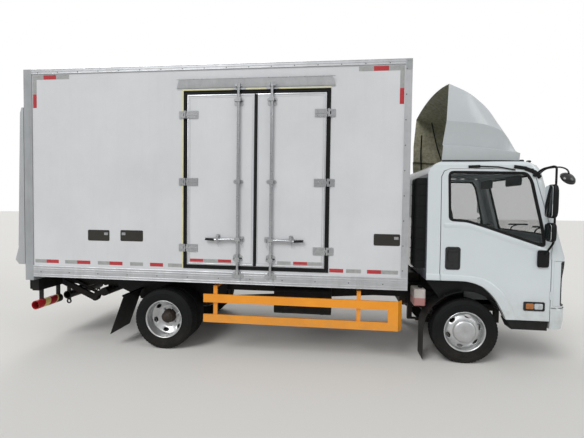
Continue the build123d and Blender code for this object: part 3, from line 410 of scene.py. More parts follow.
# the blacks' index of refraction (ior) is set below the real 1.5, so that they stay black in the pale studio
# each finish: colour, shade, width of its clouds, roughness, grain, relief, and what differs from a plain finish
finishes = {
    # gel-coated glass-fibre sandwich panel: cold white, faintly wavy, dull rain streaks
    "gelcoatPanel": ("#c9cbce", "#bfc1c4", 0.9, 0.34, 0.006, 0.1,
        {"streak": ("#a9a89f", 0.1), "wave": (0.35, 5.0), "depth": 0.0005, "coat": 0.25, "coatRough": 0.2}),
    # anodised extruded aluminium: satin grey with die lines along its length
    "anodisedRail": ("#c3c5c8", "#aeb0b3", 0.25, 0.4, 0.05, 0.2,
        {"metal": 0.85, "spread": 0.1, "brush": (0.6, 60, 60), "streak": ("#8d8c86", 0.3)}),
    # extruded lift planks, brushed across and dulled by wear
    "plankAluminium": ("#b6b9bb", "#a7aaad", 0.9, 0.46, 0.05, 0.25,
        {"clouding": 0.6, "metal": 0.7, "spread": 0.05, "brush": (60, 0.6, 60), "streak": ("#8d8c86", 0.18)}),
    # baked cab enamel under a clear coat: bluish white, hard highlights
    "cabEnamel": ("#c8cfd2", "#c0c8cb", 1.4, 0.3, 0.0015, 0.03,
        {"coat": 0.8, "coatRough": 0.04, "dust": ("#8f8779", 0.55, 1.0, 0.35)}),
    # moulded polyester with a pale gel coat, slightly rippled by the mat under it
    "mouldedShell": ("#b4babd", "#abb1b4", 0.8, 0.3, 0.01, 0.12,
        {"wave": (0.18, 7.0), "coat": 0.4, "coatRough": 0.12, "streak": ("#a5a79f", 0.12)}),
    # raw laminate inside: yellowish resin over chopped strands
    "rawLaminate": ("#a9a68d", "#6f6c58", 0.05, 0.6, 0.004, 0.6, {"depth": 0.0015, "streak": ("#4b4a3f", 0.5)}),
    # chassis enamel over forged and pressed steel: black with a film of road dust
    "chassisEnamel": ("#0e0f10", "#171718", 0.2, 0.5, 0.003, 0.25,
        {"ior": 1.28, "dust": ("#5b5348", 0.2, 1.0, 0.28)}),
    # the same enamel on the underrun bars, smoother
    "underrunPaint": ("#0e0f10", "#171718", 0.2, 0.42, 0.003, 0.25,
        {"ior": 1.28, "dust": ("#5b5348", 0.2, 1.0, 0.28)}),
    # sprayed orange-yellow enamel on pressed rails, dusty at the foot
    "guardEnamel": ("#e8940f", "#d98508", 0.5, 0.38, 0.004, 0.12,
        {"coat": 0.35, "coatRough": 0.15, "dust": ("#9a8458", 0.35, 0.7, 0.4)}),
    # bright zinc plate: mottled spangle
    "zincPlate": ("#b9bbbd", "#a0a2a5", 0.05, 0.3, 0.002, 0.15, {"metal": 1.0, "spread": 0.14}),
    # extruded black sealing rubber, greyed by weather
    "sealRubber": ("#0c0d0e", "#151617", 0.12, 0.62, 0.002, 0.2, {"ior": 1.28, "streak": ("#363634", 0.22)}),
    # vulcanised tyre rubber: matt, dust in the tread
    "tyreRubber": ("#0f1011", "#161718", 0.15, 0.72, 0.0025, 0.3,
        {"ior": 1.25, "dust": ("#4f493f", -0.1, 0.45, 0.3)}),
    # silver lacquer on pressed steel
    "silverLacquer": ("#c9cbcc", "#b3b5b6", 0.15, 0.36, 0.0015, 0.1,
        {"metal": 0.75, "coat": 0.4, "coatRough": 0.15, "dust": ("#7a7266", 0.1, 0.6, 0.3)}),
    # sand-cast iron hub and drum
    "castIron": ("#2a2725", "#3b332c", 0.05, 0.6, 0.003, 0.5, {"metal": 0.4, "dust": ("#6b5a48", 0.1, 0.7, 0.4)}),
    # injection-moulded black polypropylene with a leather grain
    "grainedPlastic": ("#0f1011", "#151617", 0.3, 0.5, 0.0018, 0.35,
        {"ior": 1.28, "dust": ("#4f4a42", 0.3, 0.9, 0.2)}),
    # brown-grey moulded plastic, faded by the sun
    "ventPlastic": ("#35332e", "#2a2824", 0.3, 0.5, 0.0018, 0.35, {"ior": 1.28, "dust": ("#4f4a42", 0.3, 0.9, 0.2)}),
    # smooth black ABS, brighter than the grained sort
    "glossPlastic": ("#121315", "#17181a", 0.4, 0.22, 0.002, 0.04),
    # tempered float glass with a faint grey-green body tint
    "tintedGlass": ("#1d2624", "#1d2624", 1.0, 0.02, 0.5, 0.0,
        {"clouding": 0.0, "spread": 0.01, "alpha": 0.2, "ior": 1.52}),
    # silvered mirror glass
    "silveredGlass": ("#d8dcde", "#d8dcde", 1.0, 0.03, 0.004, 0.0, {"metal": 1.0, "spread": 0.01}),
    # prismatic reflective film, red and silver
    "redFilm": ("#b3202a", "#98141f", 0.05, 0.3, 0.004, 0.4, {"coat": 0.5, "streak": ("#7d2b28", 0.4)}),
    "silverFilm": ("#a3a5a4", "#8e908f", 0.04, 0.3, 0.004, 0.5,
        {"metal": 0.3, "coat": 0.5, "streak": ("#8f8f8a", 0.4)}),
    # polyurethane sealant, yellowed
    "sealant": ("#d3d0a4", "#c0bc8a", 0.05, 0.5, 0.006, 0.5),
    # satin grey enamel of the rear frame and the floor
    "greyEnamel": ("#9a9da0", "#85888a", 0.4, 0.42, 0.003, 0.15, {"streak": ("#6e6c66", 0.4)}),
    # brushed stainless strip
    "stainless": ("#b4b6b8", "#96989a", 0.1, 0.34, 0.05, 0.2, {"metal": 1.0, "spread": 0.08, "brush": (60, 60, 0.8)}),
    # polycarbonate lamp lenses, fluted inside
    "redLens": ("#a01418", "#7d0d10", 0.02, 0.12, 0.01, 0.5, {"coat": 0.8}),
    "amberLens": ("#a4621f", "#844a12", 0.02, 0.12, 0.01, 0.5, {"coat": 0.8}),
    "clearLens": ("#c9ccce", "#8f9496", 0.03, 0.08, 0.012, 0.5, {"coat": 0.9, "metal": 0.3}),
    # clear moulded polycarbonate, almost unseen but for its highlights
    "clearGlass": ("#e4e8ea", "#e4e8ea", 0.6, 0.03, 0.5, 0.0,
        {"clouding": 0.0, "spread": 0.01, "alpha": 0.22, "ior": 1.55, "coat": 1.0}),
    # blow-moulded polyethylene, milky
    "milkyTank": ("#cfc9c4", "#bdb5ae", 0.1, 0.35, 0.01, 0.2),
    # woven seat cloth, threads drawn 3 mm wide so that they show
    "seatCloth": ("#3b3e42", "#2c2e31", 0.06, 0.85, 0.003, 0.7, {"sheen": 0.3, "depth": 0.001}),
    # grey moulded trim of the cab's inside
    "trimPlastic": ("#55585a", "#4a4c4e", 0.5, 0.6, 0.002, 0.35),
}
made = {name: finishOf(name, *row) for name, row in finishes.items()}
print("finishes", len(made))


# Camera, floor and light
view = {"place": (0.8136, -5.9247, 1.9394), "yaw": 0.1186, "pitch": 0.0371, "roll": 0.0135, "focal": 390,
        "width": 584, "sensor": 36}


def placeCamera():
    # ahead = (-sin yaw cos pitch, cos yaw cos pitch, -sin pitch), level right = (cos yaw, sin yaw, 0), then rolled
    yaw, pitch, roll = view["yaw"], view["pitch"], view["roll"]
    ahead = Vector((-math.sin(yaw) * math.cos(pitch), math.cos(yaw) * math.cos(pitch), -math.sin(pitch)))
    right = Vector((math.cos(yaw), math.sin(yaw), 0))
    up = right.cross(ahead)
    r = math.cos(roll) * right + math.sin(roll) * up
    u = math.cos(roll) * up - math.sin(roll) * right
    lens = bpy.data.cameras.new("camera")
    lens.sensor_width = view["sensor"]
    lens.lens = view["sensor"] * view["focal"] / view["width"]
    lens.clip_end = 300
    camera = bpy.data.objects.new("camera", lens)
    camera.matrix_world = Matrix([(r[k], u[k], -ahead[k], 0) for k in range(3)] + [(0, 0, 0, 1)])
    camera.location = view["place"]
    bpy.context.collection.objects.link(camera)
    bpy.context.scene.camera = camera


studio = {"floor": "#d3d2cf", "sky": 0.54, "key": 1.75, "keyFrom": (-5, -9, 9), "fill": 0.42, "fillFrom": (9, -4, 5),
          "back": 0.7, "backFrom": (-4, 9, 7), "softness": 0.5, "floorHalf": 60}


def lightStudio():
    # a pale sky that the camera and clear pieces see as white, three soft suns, and the floor
    world = bpy.data.worlds.new("studio")
    bpy.context.scene.world = world
    world.use_nodes = True
    tree = world.node_tree
    tree.nodes.clear()
    rays = addNode(tree, "LightPath").outputs
    seen = maths(tree, "MAXIMUM", {}, {0: rays["Is Camera Ray"], 1: rays["Is Transmission Ray"]})
    level = addNode(tree, "SeparateXYZ", {}, {0: addNode(tree, "TexCoord").outputs["Generated"]}).outputs["Z"]
    # the reflected sky is brightest overhead and darker near the horizon
    glow = addNode(tree, "MapRange", {"From Min": -0.05, "From Max": 0.6, "To Min": 0.3, "To Max": 0.95},
                   {"Value": level})
    strength = addNode(tree, "Mix", {2: studio["sky"]}, {0: rays["Is Glossy Ray"], 3: glow.outputs["Result"]},
                       data_type="FLOAT").outputs[0]
    strength = addNode(tree, "Mix", {3: 1.0}, {0: seen, 2: strength}, data_type="FLOAT").outputs[0]
    back = addNode(tree, "Background", {"Color": (1, 1, 1, 1)}, {"Strength": strength})
    addNode(tree, "OutputWorld", {}, {"Surface": back.outputs[0]})
    for name in ("key", "fill", "back"):
        lamp = bpy.data.lights.new(name, "SUN")
        lamp.energy = studio[name]
        lamp.angle = studio["softness"]
        thing = bpy.data.objects.new(name, lamp)
        thing.rotation_euler = Vector(studio[name + "From"]).to_track_quat("Z", "Y").to_euler()
        bpy.context.collection.objects.link(thing)
    floor = bpy.data.meshes.new("floor")
    half = studio["floorHalf"]
    floor.from_pydata([(-half, -half, 0), (half, -half, 0), (half, half, 0), (-half, half, 0)], [], [(0, 1, 2, 3)])
    floor.materials.append(finishOf("studioFloor", studio["floor"], "#d2d1ce", 3.0, 0.8, 0.004, 0.05))
    ground = bpy.data.objects.new("floor", floor)
    bpy.context.collection.objects.link(ground)


placeCamera()
lightStudio()
bpy.context.scene.view_settings.view_transform = "Standard"
print("studio ready")

# Finishes of the CAD pieces that stay
dress("gelcoatPanel", "box_left_wall", "box_right_wall", "box_front_wall", "box_roof", "side_door_rear",
      "side_door_front", "rear_doors")
dress("anodisedRail", "box_edge_rails")
dress("plankAluminium", "lift_platform")
dress("cabEnamel", "cab_front_panel", "cab_pillars", "cab_door_right", "cab_door_left", "bumper")
dress("chassisEnamel", "chassis_frame", "front_axle_beam", "rear_axle_and_shaft", "leaf_springs",
      "fuel_tank_and_battery_box", "lift_beam", "lift_arms", "lift_links", "lift_knuckles", "steering_knuckle_right",
      "steering_knuckle_left", "rear_lamp_beam")
dress("castIron", "engine_block")
dress("guardEnamel", "side_guards")
dress("zincPlate", "side_door_rear_hardware", "side_door_front_hardware")
dress("sealRubber", "side_door_frame")
dress("grainedPlastic", "mudguards", "air_intake_duct", "grille")
dress("greyEnamel", "rear_portal_frame", "cab_floor", "box_floor")
dress("tintedGlass", "windscreen", "cab_door_right_glass", "cab_door_left_glass")
dress("milkyTank", "coolant_tank")


# Wheels
tyre = {"half": 0.1165, "radius": 0.3985, "steps": 240, "sipeEvery": 4, "sipeDepth": 0.006, "outer": [
    (0.235, 0.085), (0.2365, 0.0985), (0.244, 0.106), (0.255, 0.109), (0.258, 0.1115), (0.262, 0.1115),
    (0.2645, 0.11), (0.29, 0.1155), (0.315, 0.1165), (0.338, 0.115), (0.342, 0.1162), (0.346, 0.1138),
    (0.36, 0.1105), (0.372, 0.1065), (0.383, 0.103), (0.3905, 0.099), (0.395, 0.0935), (0.3972, 0.087),
    (0.398, 0.068), (0.3978, 0.0655), (0.388, 0.064), (0.388, 0.0575), (0.3981, 0.056), (0.3984, 0.027),
    (0.388, 0.0255), (0.388, 0.0165), (0.3985, 0.015), (0.3985, 0.002)]}


def tyrePart(centre):
    # the profile turned about the axle, its radius less sipeDepth in every fourth step of the shoulder
    half = np.array(tyre["outer"])
    profile = np.vstack([half, half[::-1] * (1, -1)])
    t = np.linspace(0, 2 * np.pi, tyre["steps"], endpoint=False)[:, None]
    r, w = profile.T[:, None]
    sipe = (np.arange(tyre["steps"])[:, None] % tyre["sipeEvery"] == 0) & (np.abs(w) > 0.066) & (r > 0.389)
    r = r - tyre["sipeDepth"] * sipe
    x, y, z = centre
    return skin(np.stack([x + r * np.cos(t), y + w + 0 * t, z + r * np.sin(t)], -1), wrapRows=True, capped=False)


barrel = [(0.223, 0.03), (0.2265, 0.048), (0.2285, 0.064), (0.23, 0.088), (0.233, 0.0985), (0.2375, 0.106),
          (0.242, 0.1095), (0.2465, 0.1105), (0.249, 0.1085), (0.248, 0.105), (0.24, 0.101), (0.237, 0.09),
          (0.236, 0.04)]
disc = {"holes": 6, "first": math.radians(17.5), "ring": 0.192, "across": 0.037, "deep": 0.0215, "inner": 0.15,
        "outer": 0.2262, "plate": 0.009,
        "front": ([0.1, 0.14, 0.155, 0.17, 0.185, 0.2, 0.214, 0.224, 0.24],
                  [0.09, 0.0885, 0.085, 0.079, 0.071, 0.062, 0.051, 0.041, 0.034]),
        "rear": ([0.1, 0.13, 0.15, 0.17, 0.19, 0.205, 0.216, 0.224, 0.24],
                 [-0.084, -0.0835, -0.078, -0.068, -0.057, -0.048, -0.042, -0.038, -0.036])}


def discPart(centre, out, kind):
    # around each hand hole, points go from the oval's edge to the sector's border by share v; distance from the
    # wheel's middle plane follows the dish curve at each radius
    step = 2 * np.pi / disc["holes"]
    wide = disc["ring"] * step / 2
    low, high = disc["inner"] - disc["ring"], disc["outer"] - disc["ring"]
    side = np.linspace(-1, 1, 13)[:-1]
    s = np.concatenate([wide * side, np.full(12, wide), -wide * side, np.full(12, -wide)])
    q = np.concatenate([np.full(12, low), low + (high - low) * (side + 1) / 2, np.full(12, high),
                        high - (high - low) * (side + 1) / 2])
    turn = np.arctan2(q, s)
    oval = np.stack([disc["across"] * np.cos(turn), disc["deep"] * np.sin(turn)], -1)
    v = np.array([1, 0.7, 0.42, 0.2, 0.06, 0, 0, 0.06, 0.2, 0.42, 0.7, 1])[:, None, None]
    flat = (1 - v) * oval + v * np.stack([s, q], -1)
    back = np.array([0, 0, 0, 0, 0, 0.12, 0.88, 1, 1, 1, 1, 1])[:, None] * disc["plate"]
    radius = disc["ring"] + flat[..., 1]
    lift = np.interp(radius, *disc[kind]) - back - 0.004 * np.exp(-((v[..., 0]) / 0.12) ** 2)
    parts = []
    for k in range(disc["holes"]):
        angle = disc["first"] + k * step + flat[..., 0] / disc["ring"]
        rings = spots(centre[0] + radius * np.cos(angle), centre[1] + out * lift, centre[2] + radius * np.sin(angle))
        parts.append(skin(rings, capped=False))
    inner = np.array([0.0, 0.08, 0.12, disc["inner"]])
    face = np.interp(inner, *disc[kind])
    loop = np.vstack([np.stack([inner, face], -1), np.stack([inner, face - disc["plate"]], -1)[::-1]])
    return joined(*parts, lathe(loop, centre, out))


hubs = {"cover": [(0, 0.12), (0.05, 0.12), (0.058, 0.1222), (0.092, 0.1215), (0.101, 0.118), (0.118, 0.116),
                  (0.13, 0.1085), (0.137, 0.0975), (0.142, 0.086), (0.142, 0.08), (0, 0.08)],
        "hub": [(0, 0.02), (0.043, 0.02), (0.05, 0.016), (0.056, 0.006), (0.074, 0.004), (0.078, -0.002),
                (0.08, -0.05), (0.094, -0.078), (0.098, -0.1), (0, -0.1)]}


def ringOf(count, radius, centre, across, first=0.0):
    # places evenly round the axle: (x + r cos t, y + across, z + r sin t)
    t = first + np.arange(count) * 2 * np.pi / count
    return spots(centre[0] + radius * np.cos(t), centre[1] + across, centre[2] + radius * np.sin(t))


def bothBarrel():
    # the rim's profile and its mirror image across the wheel's middle
    half = np.array(barrel)
    return np.vstack([half, half[::-1] * (1, -1)])


for side, out in (("right", -1), ("left", 1)):
    body = f"front_wheel_{side}"
    centre = np.array(middle(f"front_wheel_{side}_tyre"))
    makePiece(f"front_tyre_{side}", tyrePart(centre), "tyreRubber", body, [f"{body}_tyre"])
    rimPart = joined(lathe(bothBarrel(), centre, out), discPart(centre, out, "front"),
                     lathe(hubs["cover"], centre, out),
                     studs(ringOf(3, 0.03, centre, out * 0.1195, 0.5), 0.0065, 0.005, (0, out, 0)))
    makePiece(f"front_rim_{side}", rimPart, "silverLacquer", body, [f"{body}_rim"])
    inboard = abs(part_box(f"{body}_rim")[1 if out < 0 else 0].y - centre[1])
    drum = [(0, 0.07), (0.095, 0.07), (0.1, 0.05), (0.16, 0.02), (0.165, -0.05), (0.15, -0.06), (0.1, -0.06),
            (0.098, -inboard), (0, -inboard)]
    makePiece(f"front_drum_{side}", lathe(drum, centre, out), "castIron", body)
    body = f"rear_wheel_{side}"
    low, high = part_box(f"{body}_tyres")
    outerY, innerY = (low.y + tyre["half"], high.y - tyre["half"])[::-out]
    x, z = middle(f"{body}_tyres").x, centre[2]
    outer, inner = np.array((x, outerY, z)), np.array((x, innerY, z))
    makePiece(f"rear_tyres_{side}", joined(tyrePart(outer), tyrePart(inner)), "tyreRubber", body,
              [f"{body}_tyres"])
    rimPart = joined(lathe(bothBarrel(), outer, out), discPart(outer, out, "rear"), lathe(bothBarrel(), inner, -out),
                     discPart(inner, -out, "rear"))
    makePiece(f"rear_rims_{side}", rimPart, "silverLacquer", body, [f"{body}_rims"])
    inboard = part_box(f"{body}_rims")[1 if out < 0 else 0].y
    reach = abs(inboard - outerY)
    iron = joined(lathe(hubs["hub"], outer, out, 48),
                  lathe([(0, -0.09), (0.09, -0.09), (0.1, -0.25), (0.165, -0.26), (0.165, -reach + 0.02),
                         (0.12, -reach), (0, -reach)], outer, out, 48),
                  hexHeads(ringOf(8, 0.064, outer, out * 0.004), 0.007, 0.009, (0, out, 0)))
    makePiece(f"rear_hub_{side}", iron, "castIron", body)
    nuts = hexHeads(ringOf(6, 0.1115, outer, out * -0.084, 0.2), 0.0165, 0.026, (0, out, 0))
    makePiece(f"wheel_nuts_{side}", nuts, "zincPlate", body)
print("wheels done")


# Box wall: film, marker boxes, rails
wall = {"face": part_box("box_right_wall")[0].y, "rail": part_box("box_edge_rails")[0].y,
        "leaf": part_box("side_door_rear")[0].y, "filmZ": (1.112, 1.158), "topZ": (3.545, 3.602),
        "leafZ": (1.185, 1.231), "thick": 0.0012}


def film(spans, z0, z1, face):
    # a thin plate for each span of X
    return joined(*[plate(*between(span, face - wall["thick"] / 2, (z0, z1), wall["thick"]), "y", 0.002, 0.0003)
                    for span in spans])


# strips of film by colour: spans of X, and their heights
bands = {"red": [([(-3.074, -2.896), (-2.629, -2.443), (-2.172, -1.99), (-1.61, -1.432), (0.712, 0.883),
                   (1.17, 1.337)], wall["filmZ"]), ([(-3.093, -2.913), (1.203, 1.378)], wall["topZ"]),
                 ([(-3.247, -3.195)], (3.176, 3.354)), ([(1.511, 1.562)], (3.149, 3.336))],
         "silver": [([(-3.239, -3.074), (-2.804, -2.629), (-2.337, -2.172), (-1.885, -1.706), (-1.365, -1.169),
                      (0.917, 1.098), (1.337, 1.538)], wall["filmZ"]),
                    ([(-3.247, -3.093), (-2.913, -2.728), (1.026, 1.203), (1.378, 1.562)], wall["topZ"]),
                    ([(-3.247, -3.195)], (3.354, 3.545)), ([(1.511, 1.562)], (3.336, 3.545))]}
for tone, strips in bands.items():
    parts = [film(spans, *heights, wall["face"]) for spans, heights in strips]
    makePiece(f"{tone}_film", bothSides(joined(*parts)), f"{tone}Film")
for leaf, reds, silvers in (("side_door_rear", [(-1.065, -0.892), (-0.695, -0.525)], [(-0.892, -0.695)]),
                            ("side_door_front", [(0.265, 0.439)], [(0.064, 0.233), (0.439, 0.624)])):
    makePiece(f"{leaf}_red_film", film(reds, *wall["leafZ"], wall["leaf"]), "redFilm", leaf)
    makePiece(f"{leaf}_silver_film", film(silvers, *wall["leafZ"], wall["leaf"]), "silverFilm", leaf)

markers = {"boxes": [(-2.4735, -2.171, 1.428, 1.57, 1), (-2.017, -1.706, 1.432, 1.575, -1),
                     (1.242, 1.553, 1.457, 1.597, 1)], "rim": 0.012, "proud": 0.006}


def markerParts():
    # each a raised rim round a sunk face, with a bright latch at one end
    rims, faces, latches = [], [], []
    rim, proud, y = markers["rim"], markers["proud"], wall["face"]
    for x0, x1, z0, z1, end in markers["boxes"]:
        rims.append(carried([(-0.001, 0), (0.001, proud), (rim, proud), (rim + 0.002, 0)],
                            bent(framed((x0, x1), (z0, z1), y), 0.018, True), closed=True))
        faces.append(plate(*between((x0, x1), y - 0.001, (z0, z1), 0.003), "y", 0.016))
        x = (x1 - 0.045) if end > 0 else (x0 + 0.045)
        latches.append(plate((x, y - 0.0045, z0 + (z1 - z0) * 0.66), (0.052, 0.005, 0.034), "y", 0.005, 0.0015))
        latches.append(plate((x, y - 0.0065, z0 + (z1 - z0) * 0.6), (0.03, 0.006, 0.008), "y", 0.003, 0.0015))
    return joined(*rims, *faces), joined(*latches)


boxPart, latchPart = markerParts()
makePiece("vent_boxes", bothSides(boxPart), "ventPlastic")
makePiece("vent_latches", bothSides(latchPart), "zincPlate")

# beads as (height, width), heights of the screws in both rails, and the front post's width
rail = {"beads": [(0.928, 0.01), (0.958, 0.005), (1.012, 0.004), (1.04, 0.005), (1.068, 0.009), (3.619, 0.008),
                  (3.645, 0.004), (3.675, 0.01)], "screws": (0.99, 3.632), "post": 0.082}


def railParts():
    # half-round beads along both rails, and button-headed screws at even pitch
    x0, x1 = (corner.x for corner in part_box("box_edge_rails"))
    y, postX = wall["rail"], x1 - rail["post"]
    beads = [carried([(-h / 2, 0.001), (-h / 2, -0.0015), (0, -0.0032), (h / 2, -0.0015), (h / 2, 0.001)],
                     [(x0, y, z), (x1, y, z)]) for z, h in rail["beads"]]
    beads += [carried(lath(0.003, 0.003, 0.001, -0.002), [(x, y, 1.08), (x, y, 3.61)])
              for x in (postX + 0.006, postX + 0.03, x1 - 0.006)]
    places = np.vstack([spots(np.arange(x0 + 0.11, x1 - 0.06, 0.41), y, rail["screws"][0]),
                        spots(np.arange(x0 + 0.09, x1 - 0.06, 0.285), y, rail["screws"][1]),
                        spots(postX + 0.018, y, np.arange(1.16, 3.58, 0.3))])
    return joined(*beads), studs(places, 0.0065, 0.004)


beadPart, screwPart = railParts()
makePiece("rail_beads", bothSides(beadPart), "anodisedRail")
makePiece("rail_screws", bothSides(screwPart), "castIron")
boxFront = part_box("box_edge_rails")[1].x
capScrews = [(boxFront - back, wall["rail"] - 0.003, z) for back, z in ((0.05, 3.655), (0.05, 3.58), (0.018, 3.655))]
capPart = joined(plate((boxFront - 0.038, wall["rail"] - 0.001, 3.613), (0.074, 0.004, 0.128), "y", 0.012, 0.0015),
                 studs(capScrews, 0.006, 0.004))
makePiece("corner_caps", bothSides(capPart), "greyEnamel")
print("box wall done")


# Side double door: seals, edging, lock bars and hinges
door = {"trim": 0.02, "hinges": (1.37, 2.21, 3.055), "bearings": (1.24, 2.215, 3.225), "cams": (1.27, 3.185),
        "lever": 1.49, "barIn": 0.207, "barOut": 0.042, "drip": (0.089, 0.05)}
leaves = (("side_door_rear", 1), ("side_door_front", -1))
frameLow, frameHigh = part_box("side_door_frame")
dripX = (frameLow.x - door["drip"][0], frameHigh.x + door["drip"][1])


def ringPath(low, high, y, inset=0.0):
    # corners of the box's outline at y, each drawn in by inset
    return framed((low.x + inset, high.x - inset), (low.z + inset, high.z - inset), y)


# two sealing lips round the frame's rubber, and the sealant up its rear side and across its top
lip = [(-0.005, 0.001), (-0.0035, -0.006), (0.0, -0.0075), (0.0035, -0.006), (0.005, 0.001)]
seals = joined(*[carried(lip, bent(ringPath(frameLow, frameHigh, frameLow.y, inset), 0.012, True), closed=True)
                 for inset in (0.008, 0.036)])
makePiece("door_seal_lips", seals, "sealRubber")
sealLine = [(frameLow.x - 0.01, wall["face"], frameLow.z), (frameLow.x - 0.01, wall["face"], frameHigh.z + 0.012),
            (frameHigh.x + 0.004, wall["face"], frameHigh.z + 0.012)]
bead = [(-0.011, 0.001), (-0.008, -0.004), (0, -0.0055), (0.008, -0.004), (0.011, 0.001)]
makePiece("sealant_bead", carried(bead, sealLine), "sealant")

for leaf, sign in leaves:
    low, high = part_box(leaf)
    half, y = door["trim"] / 2, low.y
    edging = [(-half, 0.0005), (-half, -0.002), (0.003 - half, -0.0038), (half - 0.003, -0.0038), (half, -0.002),
              (half, 0.0005)]
    part = carried(edging, ringPath(low, high, y, half), closed=True)
    inner = carried(lath(0.003, 0.003, 0.0005, -0.002), ringPath(low, high, y, door["trim"] + 0.016), closed=True)
    makePiece(f"{leaf}_edging", joined(part, inner), "anodisedRail", leaf)
    x = low.x + 0.01 if sign > 0 else high.x - 0.01
    places = np.vstack([spots(x, y - 0.0038, np.arange(low.z + 0.06, high.z, 0.18)),
                        spots(np.arange(low.x + 0.08, high.x - 0.03, 0.16), y - 0.0038, high.z - 0.01)])
    makePiece(f"{leaf}_rivets", studs(places, 0.004, 0.0025), "zincPlate", leaf)
# rubber strip that laps the joint between the leaves, carried by the rear leaf
low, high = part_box("side_door_rear")
lap = [(-0.03, 0.0), (-0.027, -0.0055), (-0.004, -0.008), (0.01, -0.0075), (0.012, -0.002), (0.0, 0.0)]
path = [(high.x + 0.001, low.y - 0.0005, z) for z in (low.z + 0.004, high.z - 0.004)]
makePiece("meeting_seal", carried(lap, path), "sealRubber", "side_door_rear")


def hardwareParts(leaf, sign):
    # bar bearings, cams, handle with its hub and catch, and the hinge straps' bolts and ribs
    low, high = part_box(f"{leaf}_hardware")
    leafLow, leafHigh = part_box(leaf)
    barX = (leafHigh.x if sign > 0 else leafLow.x) - sign * door["barIn"]
    barY, face, z = wall["face"] - door["barOut"], leafLow.y, door["lever"]
    parts = []
    for level in door["bearings"]:
        parts.append(plate((barX, face - 0.003, level), (0.128, 0.006, 0.044), "y", 0.018, 0.0015))
        parts.append(collar((barX, barY, level), 0.0235, 0.016))
        parts.append(hexHeads([(barX + a, face - 0.006, level) for a in (-0.036, 0.036)], 0.0085, 0.006))
    for level in door["cams"]:
        parts.append(plate((barX, face - 0.003, level), (0.118, 0.006, 0.066), "y", 0.026, 0.0015))
    for level in (low.z + 0.02, high.z - 0.02):
        parts.append(collar((barX, barY, level), 0.021, 0.024))
        parts.append(plate((barX - sign * 0.022, barY + 0.004, level), (0.052, 0.026, 0.022), "z", 0.01, 0.002))
        parts.append(plate((barX + sign * 0.03, barY + 0.018, level), (0.016, 0.03, 0.02), "z", 0.006, 0.002))
    # lever: (from the hub towards the hinge, out from the bar, up from the hub)
    hub = barX - sign * 0.02
    run = [(0, 0.012, 0.002), (0.09, 0.016, 0.004), (0.19, 0.018, -0.003), (0.3, 0.016, -0.006),
           (0.392, 0.013, 0.001)]
    held = [(0.275, 0.0165, -0.0055), (0.388, 0.013, 0.001)]
    lever, grip = ([(hub - sign * a, barY - b, z + c) for a, b, c in line] for line in (run, held))
    parts.append(plate((barX, barY, z), (0.07, 0.05, 0.046), "y", 0.014, 0.004))
    parts.append(carried(circle(0.0115) * (1.0, 0.75), bent(lever, 0.05)))
    # catch that holds the lever, and the guard beside the bar, each with its pull cord
    catch, guard = hub - sign * 0.235, barX + sign * 0.055
    parts.append(plate((catch, face - 0.004, z + 0.012), (0.052, 0.008, 0.104), "y", 0.016, 0.002))
    parts.append(plate((catch, face - 0.028, z + 0.038), (0.03, 0.044, 0.02), "z", 0.006, 0.002))
    parts.append(plate((catch, barY - 0.026, z + 0.014), (0.028, 0.006, 0.062), "y", 0.01, 0.001))
    parts.append(hexHeads([(catch, face - 0.008, z + 0.052), (catch, face - 0.008, z - 0.026)], 0.008, 0.005))
    parts.append(tube([(catch, barY - 0.03, z - 0.01), (catch + 0.012, barY - 0.03, z - 0.04),
                       (catch + 0.02, barY - 0.026, z - 0.088)], 0.0032, bend=0.02, sides=8))
    parts.append(plate((guard, face - 0.003, z + 0.004), (0.05, 0.006, 0.072), "y", 0.008, 0.0015))
    parts.append(plate((guard, face - 0.017, z + 0.018), (0.038, 0.026, 0.012), "z", 0.004, 0.0015))
    parts.append(tube([(guard, face - 0.024, z + 0.012), (guard, face - 0.024, z - 0.05),
                       (guard + 0.004, face - 0.02, z - 0.1)], 0.003, bend=0.02, sides=8))
    x = (leafLow.x - 0.029 if sign > 0 else leafHigh.x + 0.029) + sign * 0.095
    for level in door["hinges"]:
        corners = [(x + a, face - 0.01, level + b) for a in (-0.045, 0.045) for b in (-0.027, 0.027)]
        parts.append(hexHeads(corners, 0.0085, 0.006))
        parts.append(plate((x, face - 0.0125, level), (0.14, 0.005, 0.016), "y", 0.007, 0.0015))
    return joined(*parts), carried(circle(0.015) * (1.0, 0.8), grip)


for leaf, sign in leaves:
    metal, grip = hardwareParts(leaf, sign)
    makePiece(f"{leaf}_lock_details", metal, "zincPlate", leaf)
    makePiece(f"{leaf}_lever_grip", grip, "grainedPlastic", leaf)
hinges = [(frameLow.x + 0.022, 1), (frameHigh.x - 0.022, -1)]
fixedParts = [hexHeads([(x - sign * 0.052, wall["face"] - 0.01, level + b) for b in (-0.03, 0.03)], 0.0085, 0.006)
              for x, sign in hinges for level in door["hinges"]]
fixedParts.append(carried(lath(0.004, 0.003, 0.0, -0.004), [(x, wall["face"] - 0.038, 3.49) for x in dripX]))
makePiece("hinge_bolts_and_gutter_lip", joined(*fixedParts), "zincPlate")
print("side door done")


# Cab
# back: the place ahead of the axle behind which the cab takes the darker grey, a painted shade
cab = {"axle": middle("front_wheel_right_tyre").x, "levels": [0.59, 1.35, 1.58, 2.38, 2.45, 2.493],
       "half": [1.0, 1.0, 0.996, 0.962, 0.954, 0.928], "nose": [1.186, 1.186, 1.12, 0.903, 0.855, 0.775], "bow": 0.05,
       "drop": 0.13, "run": 0.19, "lead": 0.0103, "turn": 0.1297, "turnIn": 0.1293, "back": -0.486}
fa = cab["axle"]
# the cab's back and the rear of its roof are painted a darker grey on a copy of the cab enamel, up to the curve into
# the roof: painted shade of the gap between cab and box
made["cabBackPaintedShade"] = finishOf("cabBackPaintedShade", *finishes["cabEnamel"])
shadedBackTree = made["cabBackPaintedShade"].node_tree
paintOver(made["cabBackPaintedShade"], maths(shadedBackTree, "LESS_THAN", {1: fa + cab["back"]}, {0: objectAxes(shadedBackTree)["X"]}),
          "#697079")
dress("cabBackPaintedShade", "cab_roof", "cab_rear_wall")


